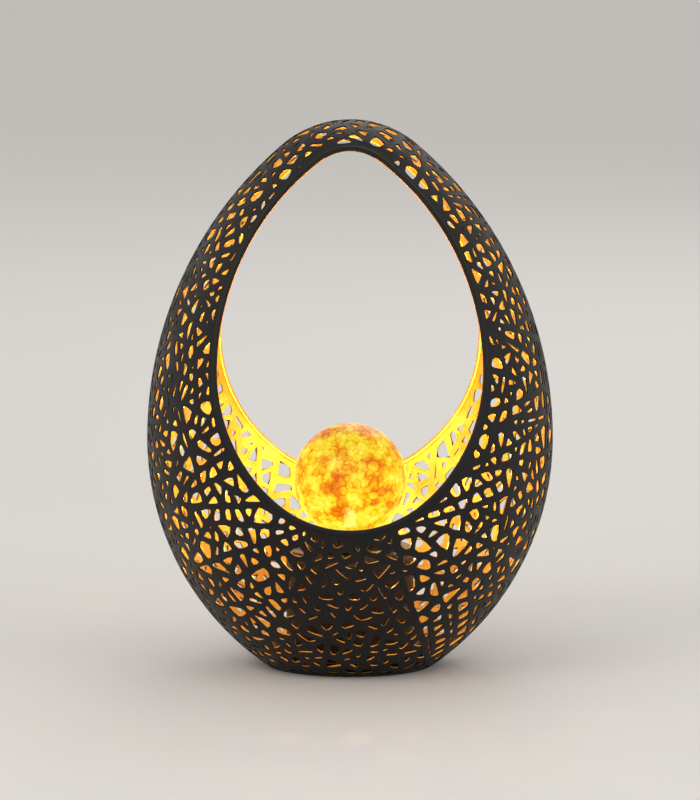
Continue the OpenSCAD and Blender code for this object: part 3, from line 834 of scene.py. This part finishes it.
def pierce_tree():
    """Cuts each cell's hole, gives the sheet its thickness and rounds the holes' corners."""
    t = Tree("Pierced sheet", [
        ("Strut", "Float"), ("Sheet", "Float"), ("Outside", "Material"), ("Inside", "Material")])
    geometry, strut, sheet, outside, inside = t.entry[:5]
    weld, corner_crease = 0.002 * MM, 0.72
    cut = t.node("GeometryNodeExtrudeMesh", geometry, in_Selection=t.attribute("pierced", "BOOLEAN"),
                 in_Offset_Scale=0.0, in_Individual=True, mode="FACES")
    mesh, hole = cut.outputs["Mesh"], cut.outputs["Top"]
    corner = t.add("GeometryNodeCornersOfVertex", in_Vertex_Index=t.add("GeometryNodeInputIndex"),
                   in_Weights=t.math("SUBTRACT", 1.0, hole), in_Sort_Index=0)
    move = t.add("GeometryNodeFieldAtIndex", in_Index=corner, in_Value=t.attribute("inset", "FLOAT_VECTOR"),
                 data_type="FLOAT_VECTOR", domain="CORNER")
    move = t.scaled(move, t.math("MULTIPLY", strut, 0.5))
    mesh = t.add("GeometryNodeSetPosition", mesh, in_Selection=hole, in_Offset=move)
    mesh = t.add("GeometryNodeDeleteGeometry", mesh, in_Selection=hole, domain="FACE")
    wall = t.node("GeometryNodeExtrudeMesh", mesh, in_Offset=t.attribute("outward", "FLOAT_VECTOR"),
                  in_Offset_Scale=t.math("MULTIPLY", sheet, -1.0), in_Individual=False, mode="FACES")
    back = t.store(wall.outputs["Mesh"], "depth", "POINT", wall.outputs["Top"])
    back = t.store(back, "wall", "FACE", wall.outputs["Side"])
    both = t.join(mesh, t.add("GeometryNodeFlipFaces", back))
    both = t.add("GeometryNodeMergeByDistance", both, in_Distance=weld)
    sharp = t.border(t.attribute("wall"))
    both = t.add("GeometryNodeSubdivisionSurface", both, in_Level=1, in_Edge_Crease=sharp,
                 in_Vertex_Crease=corner_crease)
    both = t.add("GeometryNodeSetShadeSmooth", both, in_Selection=sharp, in_Shade_Smooth=False, domain="EDGE")
    gold = t.math("GREATER_THAN", t.attribute("depth"), 0.5)
    return t.close(both, (True, outside), (gold, inside))


def wire_tree():
    """A round wire along a closed path, black towards the outside and gold towards the inside."""
    t = Tree("Rim wire", [("Diameter", "Float"), ("Outside", "Material"), ("Inside", "Material")])
    geometry, diameter, outside, inside = t.entry[:4]
    sides, turned_in = 14, -0.25
    path = t.add("GeometryNodeMeshToCurve", geometry)
    radius = t.math("MULTIPLY", diameter, 0.5)
    ring = t.add("GeometryNodeCurvePrimitiveCircle", in_Resolution=sides, in_Radius=radius)
    tube = t.add("GeometryNodeCurveToMesh", path, in_Profile_Curve=ring)
    out = t.attribute("outward", "FLOAT_VECTOR")
    facing = t.vector("DOT_PRODUCT", t.add("GeometryNodeInputNormal"), out, out=1)
    tube = t.add("GeometryNodeSetShadeSmooth", tube)
    return t.close(tube, (True, outside), (t.math("LESS_THAN", facing, turned_in), inside))


def crackle_tree():
    """Parts a ball into cells between grooves. Each cell keeps a tone, and the grooves are marked."""
    t = Tree("Crackle", [("Radius", "Float"), ("Groove", "Float"), ("Depth", "Float"),
                         ("Seed", "Int"), ("Glass", "Material")])
    geometry, radius, groove, depth, seed, glass = t.entry[:6]
    lip_crease, corner_crease = 0.6, 0.85

    def on_ball(mesh, reach, where):
        place = t.scaled(t.vector("NORMALIZE", t.add("GeometryNodeInputPosition")), reach)
        return t.add("GeometryNodeSetPosition", mesh, in_Selection=where, in_Position=place)

    cells = on_ball(t.add("GeometryNodeDualMesh", geometry), t.math("SUBTRACT", radius, depth), True)
    tone = t.add("FunctionNodeRandomValue", data_type="FLOAT", in_Seed=seed, out=1)
    cells = t.store(cells, "tone", "FACE", tone)
    raised = t.node("GeometryNodeExtrudeMesh", cells, in_Offset_Scale=0.0, in_Individual=True, mode="FACES")
    top = raised.outputs["Top"]
    span = t.math("SQRT", t.add("GeometryNodeInputMeshFaceArea"))
    scale = t.math("SUBTRACT", 1.0, t.math("DIVIDE", groove, span))
    ball = t.add("GeometryNodeScaleElements", raised.outputs["Mesh"], in_Selection=top, in_Scale=scale)
    ball = on_ball(ball, radius, top)
    ball = t.store(ball, "crack", "POINT", t.math("SUBTRACT", 1.0, top))
    lip = t.math("MULTIPLY", t.border(top), lip_crease)
    ball = t.add("GeometryNodeSubdivisionSurface", ball, in_Level=1, in_Edge_Crease=lip,
                 in_Vertex_Crease=corner_crease)
    ball = t.add("GeometryNodeSetShadeSmooth", ball)
    return t.close(ball, (True, glass))


def rib_tree():
    """Sets upright ribs round a collar."""
    t = Tree("Grip ribs", [("Count", "Int"), ("Radius", "Float"), ("Size", "Vector"),
                           ("Height", "Float"), ("Plastic", "Material")])
    geometry, number, radius, size, height, plastic = t.entry[:6]
    circle = t.add("GeometryNodeMeshCircle", in_Vertices=number, in_Radius=radius)
    lift = t.add("ShaderNodeCombineXYZ", in_Z=height)
    circle = t.add("GeometryNodeSetPosition", circle, in_Offset=lift)
    flat = t.vector("MULTIPLY", t.add("GeometryNodeInputPosition"), (1.0, 1.0, 0.0))
    turn = t.add("FunctionNodeAlignRotationToVector", in_Vector=flat, axis="X", pivot_axis="Z")
    rib = t.add("GeometryNodeMeshCube", in_Size=size, in_Vertices_X=2, in_Vertices_Y=2, in_Vertices_Z=4)
    rib = t.add("GeometryNodeSubdivisionSurface", rib, in_Level=1, in_Edge_Crease=0.55)
    ribs = t.add("GeometryNodeInstanceOnPoints", circle, in_Instance=rib, in_Rotation=turn)
    return t.close(t.join(geometry, ribs), (True, plastic))


# Finishes

class Finish:
    """A material under construction on its Principled shader."""

    def __init__(self, name, **sockets):
        self.material = bpy.data.materials.new(name)
        self.material.use_nodes = True
        self.tree = self.material.node_tree
        self.shader = self.tree.nodes["Principled BSDF"]
        self.place = self.tree.nodes.new("ShaderNodeTexCoord").outputs["Object"]
        for key, value in sockets.items():
            self.put(key.replace("_", " "), value)

    def put(self, socket, value):
        """Links or sets one of the shader's inputs."""
        target = self.shader.inputs[socket]
        if isinstance(value, bpy.types.NodeSocket):
            self.tree.links.new(value, target)
        elif target.type == "RGBA":
            target.default_value = (*value, 1.0)
        else:
            target.default_value = value

    def node(self, kind, inputs, **settings):
        node = self.tree.nodes.new(kind)
        for key, value in settings.items():
            setattr(node, key, value)
        for key, value in inputs.items():
            if isinstance(value, bpy.types.NodeSocket):
                self.tree.links.new(value, node.inputs[key])
            else:
                node.inputs[key].default_value = value
        return node

    def noise(self, scale, detail, stretch=None):
        place = self.place
        if stretch:
            place = self.node("ShaderNodeMapping", {"Vector": place, "Scale": stretch}).outputs[0]
        return self.node("ShaderNodeTexNoise", {
            "Vector": place, "Scale": scale, "Detail": detail, "Roughness": 0.55}).outputs["Fac"]

    def ramp(self, value, *stops):
        """Colours for a value, each given with its place from 0 to 1."""
        ramp = self.tree.nodes.new("ShaderNodeValToRGB")
        self.tree.links.new(value, ramp.inputs[0])
        band = ramp.color_ramp.elements
        while len(band) < len(stops):
            band.new(0.5)
        for stop, (place, tone) in zip(band, stops):
            stop.position = place
            stop.color = (*tone, 1.0)
        return ramp.outputs[0]

    def span(self, value, low, high, start=0.0, end=1.0):
        """A value drawn from the stretch between start and end to the one between low and high."""
        return self.node("ShaderNodeMapRange", {
            0: value, 1: start, 2: end, 3: low, 4: high}).outputs[0]

    def math(self, operation, a, b):
        return self.node("ShaderNodeMath", {0: a, 1: b}, operation=operation).outputs[0]

    def weighted(self, *parts):
        """The sum of values, each given with its weight."""
        total = 0.0
        for value, weight in parts:
            total = self.math("ADD", total, self.math("MULTIPLY", value, weight))
        return total

    def attribute(self, name):
        return self.node("ShaderNodeAttribute", {}, attribute_name=name).outputs["Fac"]

    def height(self):
        return self.node("ShaderNodeSeparateXYZ", {0: self.place}).outputs["Z"]

    def bricks(self, tones, line, gap, size, offset):
        """Bricks of two tones with lines between them."""
        first, second, line = ((*tone, 1.0) for tone in (*tones, line))
        return self.node("ShaderNodeTexBrick", {
            "Vector": self.place, "Color1": first, "Color2": second, "Mortar": line, "Scale": 1.0,
            "Mortar Size": gap, "Mortar Smooth": 0.1, "Brick Width": size[0], "Row Height": size[1]},
            offset=offset).outputs

    def bump(self, value, depth):
        self.put("Normal", self.node("ShaderNodeBump", {
            "Height": value, "Distance": depth, "Strength": 1.0}).outputs[0])


def grained(name, dark, light, rough, scale, bump, stretch=None, **sockets):
    """A finish whose colour, gloss and surface vary with a fine grain."""
    f = Finish(name, **sockets)
    broad, fine = f.noise(scale / 6, 3, stretch), f.noise(scale, 4, stretch)
    f.put("Base Color", f.ramp(broad, (0.3, dark), (0.7, light)))
    f.put("Roughness", f.span(fine, rough[0], rough[1], 0.3, 0.7))
    f.bump(fine, bump)
    return f.material


def tint(tone, factor):
    return tuple(min(1.0, c * factor) for c in tone)


def powder_black(finish):
    """Black powder coat: fine orange peel, a few dull patches and brownish patches at random that are painted
    highlights.
    """
    f = Finish("powder_black", Specular_IOR_Level=0.25)
    broad, peel, grit = f.noise(38, 4), f.noise(900, 3), f.noise(3200, 2)
    # The last, brownish tone is painted highlights, spread in random patches by the broad noise
    f.put("Base Color", f.ramp(broad, (0.32, finish.black), (0.62, tint(finish.black, 1.6)),
                               (0.86, (0.013, 0.0100, 0.0070))))
    f.put("Roughness", f.span(broad, 0.40, 0.58, 0.3, 0.7))
    f.bump(f.weighted((peel, 1.0), (grit, 0.35)), 0.09 * MM)
    return f.material


def lacquer_gold(finish):
    """Gold lacquer: metal flakes, cloudy spray and fine runs."""
    f = Finish("lacquer_gold", Metallic=0.72, Specular_IOR_Level=0.6)
    cloud, flake = f.noise(55, 4), f.noise(2600, 2)
    f.put("Base Color", f.ramp(f.weighted((cloud, 0.7), (flake, 0.3)), (0.34, tint(finish.gold, 0.8)),
                               (0.5, finish.gold), (0.66, finish.gold_light)))
    f.put("Roughness", f.span(cloud, 0.3, 0.5, 0.3, 0.7))
    f.bump(f.weighted((flake, 1.0), (f.noise(700, 3), 1.0)), 0.05 * MM)
    return f.material


def amber_glass(finish, low, high):
    """Lit amber glass: cells of different tone, deep orange cracks, brightest at the low level."""
    f = Finish("amber_glass", Roughness=0.07, IOR=1.5, Alpha=0.86, Specular_IOR_Level=0.2,
               Coat_Weight=0.15, Coat_Roughness=0.05)
    tone, crack = f.attribute("tone"), f.attribute("crack")
    swirl = f.noise(95, 3)
    patch = f.span(swirl, 0.0, 1.0, 0.36, 0.62)
    flaws = f.node("ShaderNodeTexVoronoi", {"Vector": f.place, "Scale": 420.0}, feature="DISTANCE_TO_EDGE")
    hair = f.span(flaws.outputs[0], 0.16, 0.0, 0.0, 0.12)
    lit = f.weighted((tone, 0.30), (patch, 0.70), (crack, -0.22), (hair, -1.0))
    f.put("Base Color", f.ramp(lit, (0.0, tint(finish.amber, 0.18)), (0.4, tint(finish.amber, 0.24)),
                               (0.9, tint(finish.honey, 0.2))))
    near = f.span(f.height(), 1.0, 0.0, low, high)
    f.put("Emission Color", f.ramp(
        f.weighted((lit, 0.8), (near, 0.12)),
        (0.0, (0.80, 0.12, 0.001)), (0.18, (0.88, 0.26, 0.002)), (0.32, (0.88, 0.50, 0.006)),
        (0.46, (0.86, 0.74, 0.012)), (0.80, (0.92, 0.92, 0.10))))
    f.put("Emission Strength", f.span(f.math("ADD", lit, near), 0.60, 1.05, 0.1, 1.5))
    f.bump(f.weighted((swirl, 1.0), (hair, -0.8)), 0.12 * MM)
    return f.material


def cell_laminate():
    """Dark blue solar cell with fine silver fingers, under a clear coat."""
    f = Finish("cell_laminate", Roughness=0.3, Coat_Weight=0.8, Coat_Roughness=0.08)
    grid = f.bricks(((0.010, 0.016, 0.060), (0.014, 0.022, 0.085)), (0.32, 0.34, 0.37),
                    0.12 * MM, (6.2 * MM, 1.6 * MM), 0.0)
    f.put("Base Color", grid["Color"])
    f.put("Metallic", f.span(grid["Fac"], 0.15, 0.8))
    f.bump(f.noise(1200, 2), 0.02 * MM)
    return f.material


def led_lens():
    """Lit LED: a warm white dome with a brighter core."""
    f = Finish("led_lens", Roughness=0.15, Base_Color=(1.0, 0.86, 0.62))
    core = f.noise(600, 2)
    f.put("Emission Color", f.ramp(core, (0.3, (1.0, 0.72, 0.30)), (0.7, (1.0, 0.88, 0.58))))
    f.put("Emission Strength", f.span(core, 9.0, 14.0, 0.3, 0.7))
    return f.material


def battery_wrap():
    """Shrink sleeve of a rechargeable cell: green with a pale band, slightly wrinkled."""
    f = Finish("battery_wrap", Coat_Weight=0.3, Coat_Roughness=0.15)
    green, pale, deep = (0.03, 0.16, 0.06), (0.55, 0.57, 0.55), (0.02, 0.09, 0.04)
    f.put("Base Color", f.ramp(f.span(f.height(), 0.0, 1.0, 10 * MM, 38 * MM), (0.0, green), (0.70, green),
                               (0.72, pale), (0.80, pale), (0.82, deep)))
    crease = f.noise(260, 3, (1, 1, 0.25))
    f.put("Roughness", f.span(crease, 0.25, 0.42, 0.3, 0.7))
    f.bump(crease, 0.06 * MM)
    return f.material


def board_laminate():
    """Green circuit board with copper runs under the lacquer and the weave of its glass."""
    f = Finish("board_laminate", Coat_Weight=0.4, Coat_Roughness=0.2)
    runs = f.bricks(((0.012, 0.085, 0.03), (0.016, 0.11, 0.04)), (0.05, 0.24, 0.07),
                    0.35 * MM, (7 * MM, 2.2 * MM), 0.5)
    f.put("Base Color", runs["Color"])
    f.put("Roughness", f.span(f.noise(900, 2), 0.3, 0.45, 0.3, 0.7))
    f.bump(runs["Fac"], 0.03 * MM)
    return f.material


def moulded_black(finish):
    """Black moulded plastic with a fine spark-eroded grain."""
    return grained("moulded_black", finish.plastic, tint(finish.plastic, 1.7), (0.42, 0.58), 1500,
                   0.05 * MM, Specular_IOR_Level=0.3)


def small_finishes(finish):
    """Finishes of the module's own parts, by the node that wears each."""
    plastic, grey = finish.plastic, (0.30, 0.31, 0.32)
    moulded = shared_finish(moulded_black, finish)
    satin = grained("satin_black", tint(plastic, 0.8), tint(plastic, 1.4), (0.30, 0.42), 1100, 0.03 * MM)
    rubber = grained("seal_rubber", (0.030, 0.030, 0.029), (0.052, 0.051, 0.049), (0.66, 0.84), 800,
                     0.05 * MM)
    steel = grained("zinc_steel", (0.44, 0.45, 0.46), (0.62, 0.62, 0.61), (0.24, 0.42), 1300, 0.02 * MM,
                    (1, 1, 0.15), Metallic=0.95)
    brass = grained("contact_brass", (0.62, 0.42, 0.14), (0.76, 0.56, 0.23), (0.22, 0.38), 900, 0.02 * MM,
                    (0.2, 1, 1), Metallic=0.95)
    base = grained("base_paint", (0.014, 0.013, 0.012), (0.026, 0.023, 0.020), (0.44, 0.62), 1000,
                   0.08 * MM)
    white = grained("holder_white", (0.72, 0.69, 0.62), (0.80, 0.78, 0.73), (0.38, 0.5), 700, 0.03 * MM)
    resin = grained("chip_resin", (0.012, 0.012, 0.013), (0.026, 0.026, 0.027), (0.5, 0.7), 2600, 0.02 * MM)
    copper = grained("choke_winding", (0.42, 0.14, 0.05), (0.58, 0.24, 0.10), (0.28, 0.4), 2200, 0.10 * MM,
                     (0.1, 0.1, 1), Metallic=0.8)
    plate = grained("switch_plate", grey, tint(grey, 1.4), (0.28, 0.4), 1400, 0.02 * MM,
                    (1, 0.15, 1), Metallic=0.9)
    red = grained("lead_red", (0.34, 0.012, 0.010), (0.46, 0.020, 0.016), (0.4, 0.5), 900, 0.02 * MM)
    dark = grained("lead_black", (0.012, 0.012, 0.012), (0.024, 0.024, 0.024), (0.4, 0.5), 900, 0.02 * MM)
    return {
        "base_plate": base, "socket_ring": moulded, "socket_screws": steel, "module_housing": moulded,
        "module_lid": satin, "lid_seal": rubber, "lid_screws": steel, "globe_seal": rubber,
        "solar_cell": cell_laminate(), "led": led_lens(), "led_holder": white, "cell_leads": red,
        "circuit_board": board_laminate(), "board_screws": steel, "controller_chip": resin,
        "boost_choke": copper, "battery": battery_wrap(), "positive_contact": brass, "negative_strip": brass,
        "battery_cap": satin, "cap_seal": rubber, "negative_spring": steel, "switch_body": plate,
        "switch_leads": dark, "switch_slider": moulded,
    }


def shared_finish(make, finish):
    """A finish that several pieces wear, made once. It has its function's name."""
    return bpy.data.materials.get(make.__name__) or make(finish)


def sheet_finishes(finish):
    """The shade's two finishes, as a tree's inputs."""
    return {"Outside": shared_finish(powder_black, finish), "Inside": shared_finish(lacquer_gold, finish)}


# Operators

class LAMP_OT_pierced_shade(bpy.types.Operator):
    """Builds both halves of the pierced shade"""

    bl_idname = "lamp.pierced_shade"
    bl_label = "Pierced shade"

    def execute(self, context):
        shade, finish = context.scene.lamp_shade, context.scene.lamp_finish
        outline, tree = Outline(shade), pierce_tree()
        values = {"Strut": shade.strut, "Sheet": shade.sheet, **sheet_finishes(finish)}
        for which, (half, facing) in enumerate(HALVES):
            mesh = net_mesh(outline, half + "_net", shade.net_seed + which, facing)
            obj = shape(half + "_pierced_shell", mesh, tree, values)
            settle(obj, "shade", "black_paint", half + "_shell")
        return {"FINISHED"}


class LAMP_OT_opening_rims(bpy.types.Operator):
    """Builds the wire that edges each opening"""

    bl_idname = "lamp.opening_rims"
    bl_label = "Opening rims"

    def execute(self, context):
        shade, finish = context.scene.lamp_shade, context.scene.lamp_finish
        outline, tree, overlap = Outline(shade), wire_tree(), 0.15 * MM
        values = {"Diameter": shade.rim_wire, **sheet_finishes(finish)}
        points, out = outline.surface(outline.rim_loop(pieces=240))
        along = np.roll(points, -1, 0) - np.roll(points, 1, 0)
        into = np.cross(out, along / np.linalg.norm(along, axis=1)[:, None])
        hubs = points - out * shade.sheet / 2 + into * (shade.rim_wire / 2 - overlap)
        for half, facing in HALVES:
            mesh = bpy.data.meshes.new(half + "_path")
            mesh.from_pydata(hubs * facing, ring_links(0, len(hubs)), [])
            mark(mesh, "outward", "FLOAT_VECTOR", "POINT", out * facing)
            obj = shape(half + "_rim_wire", mesh, tree, values)
            settle(obj, "shade", "rim_paint", half + "_rim")
        return {"FINISHED"}


class LAMP_OT_crackle_globe(bpy.types.Operator):
    """Builds the crackle-glass globe with its neck and inner wall"""

    bl_idname = "lamp.crackle_globe"
    bl_label = "Crackle globe"

    def execute(self, context):
        globe, finish = context.scene.lamp_globe, context.scene.lamp_finish
        brightest, dimmest = led_box[1].z - 6 * MM, globe_box[1].z - 8 * MM
        obj = shape("crackle_globe", seed_ball(globe), crackle_tree(), {
            "Radius": globe.diameter / 2, "Groove": globe.groove, "Depth": globe.groove_depth,
            "Seed": globe.crack_seed, "Glass": amber_glass(finish, brightest, dimmest)})
        blow_globe(obj.data, globe)
        settle(obj, "lamp_module", "amber_glass", "globe")
        return {"FINISHED"}


class LAMP_OT_globe_collar(bpy.types.Operator):
    """Builds the ribbed collar that holds the globe"""

    bl_idname = "lamp.globe_collar"
    bl_label = "Globe collar"

    def execute(self, context):
        globe, finish = context.scene.lamp_globe, context.scene.lamp_finish
        low, high, body = collar_box[0].z, collar_box[1].z, collar_box[1].x - globe.rib_height
        foot, head, rib_width = low + 2.6 * MM, high - 1.4 * MM, 1.1 * MM
        obj = shape("ribbed_collar", turn_collar(globe, body), rib_tree(), {
            "Count": globe.ribs, "Radius": body, "Size": (2 * globe.rib_height, rib_width, head - foot),
            "Height": (foot + head) / 2, "Plastic": shared_finish(moulded_black, finish)})
        settle(obj, "lamp_module", "collar_plastic", "globe_collar")
        return {"FINISHED"}


class LAMP_OT_part_finishes(bpy.types.Operator):
    """Gives the base and the module's parts their finishes"""

    bl_idname = "lamp.part_finishes"
    bl_label = "Part finishes"

    def execute(self, context):
        for name, material in small_finishes(context.scene.lamp_finish).items():
            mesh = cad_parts[name].data
            mesh.materials.clear()
            mesh.materials.append(material)
        return {"FINISHED"}


class LAMP_OT_stage(bpy.types.Operator):
    """Lays the floor and sets the lights and the camera"""

    bl_idname = "lamp.stage"
    bl_label = "Stage"

    def lay_floor(self, scene, stage):
        """A pale floor that runs far out."""
        bm = bmesh.new()
        bmesh.ops.create_circle(bm, cap_ends=True, segments=96, radius=60.0)
        mesh = mesh_from(bm, "floor")
        mesh.materials.append(grained(
            "floor_pale", tint(stage.floor, 0.992), stage.floor, (0.68, 0.74), 12, 0.005 * MM))
        floor = bpy.data.objects.new("floor", mesh)
        scene.collection.objects.link(floor)

    def light_room(self, scene, stage):
        """An even surround and three soft lights."""
        scene.world = bpy.data.worlds.new("surround")
        scene.world.use_nodes = True
        surround = scene.world.node_tree.nodes["Background"].inputs
        surround["Color"].default_value = (*stage.sky, 1.0)
        surround["Strength"].default_value = 0.85
        aim = Vector((0, 0, 0.12))
        for name, place, size, power, tone in AREA_LIGHTS:
            light = bpy.data.lights.new(name, "AREA")
            light.size, light.energy, light.color = size, power, tone
            obj = bpy.data.objects.new(name, light)
            obj.location = place
            obj.rotation_euler = (aim - Vector(place)).to_track_quat("-Z", "Y").to_euler()
            obj.visible_camera = False
            scene.collection.objects.link(obj)

    def light_globe(self, scene, stage, finish):
        """A small warm light at the LED, for the inside of the shade."""
        glow = bpy.data.lights.new("globe_glow", "POINT")
        glow.energy, glow.color, glow.shadow_soft_size = stage.glow, finish.light, 6 * MM
        lamp = bpy.data.objects.new("globe_glow", glow)
        lamp.location = (0, 0, collar_box[1].z + 3.5 * MM)
        scene.collection.objects.link(lamp)
        for use, names in (("receiver", NEAR_LIGHT), ("blocker", CLEAR_OF_LIGHT)):
            spared = bpy.data.collections.new("spared_" + use)
            for name in names:
                spared.objects.link(bpy.data.objects[name])
            for item in spared.collection_objects:
                item.light_linking.link_state = "EXCLUDE"
            setattr(lamp.light_linking, use + "_collection", spared)

    def set_camera(self, scene, stage):
        """A long lens straight in front and a little above."""
        view = bpy.data.cameras.new("camera")
        view.lens, view.clip_start = stage.lens, 0.02
        camera = bpy.data.objects.new("camera", view)
        back = Vector((0, -math.cos(stage.elevation), math.sin(stage.elevation)))
        camera.location = Vector((0, 0, stage.aim)) + back * stage.distance
        camera.rotation_euler = (-back).to_track_quat("-Z", "Y").to_euler()
        scene.collection.objects.link(camera)
        scene.camera = camera

    def execute(self, context):
        scene, stage = context.scene, context.scene.lamp_stage
        self.lay_floor(scene, stage)
        self.light_room(scene, stage)
        self.light_globe(scene, stage, scene.lamp_finish)
        self.set_camera(scene, stage)
        scene.view_settings.view_transform = "Standard"
        return {"FINISHED"}


class LAMP_PT_panel(bpy.types.Panel):
    """Lists the lamp's steps and sizes"""

    bl_idname = "LAMP_PT_panel"
    bl_label = "Solar lamp"
    bl_space_type = "VIEW_3D"
    bl_region_type = "UI"
    bl_category = "Solar lamp"

    def draw(self, context):
        for operator in OPERATORS:
            self.layout.operator(operator.bl_idname)
        for name in GROUPS:
            group = getattr(context.scene, name)
            box = self.layout.box()
            for key in group.bl_rna.properties.keys():
                if key not in ("rna_type", "name"):
                    box.prop(group, key)


GROUPS = {
    "lamp_shade": LAMP_PG_shade, "lamp_globe": LAMP_PG_globe,
    "lamp_finish": LAMP_PG_finish, "lamp_stage": LAMP_PG_stage}
OPERATORS = (
    LAMP_OT_part_finishes, LAMP_OT_pierced_shade, LAMP_OT_opening_rims, LAMP_OT_crackle_globe,
    LAMP_OT_globe_collar, LAMP_OT_stage)


def register():
    for item in (*GROUPS.values(), *OPERATORS, LAMP_PT_panel):
        bpy.utils.register_class(item)
    for name, group in GROUPS.items():
        setattr(bpy.types.Scene, name, bpy.props.PointerProperty(type=group))


def unregister():
    for name in GROUPS:
        delattr(bpy.types.Scene, name)
    for item in reversed((*GROUPS.values(), *OPERATORS, LAMP_PT_panel)):
        bpy.utils.unregister_class(item)


def main():
    register()
    bpy.ops.lamp.part_finishes()
    bpy.ops.lamp.pierced_shade()
    bpy.ops.lamp.opening_rims()
    bpy.ops.lamp.crackle_globe()
    bpy.ops.lamp.globe_collar()
    bpy.ops.lamp.stage()


if __name__ == "__main__":
    main()
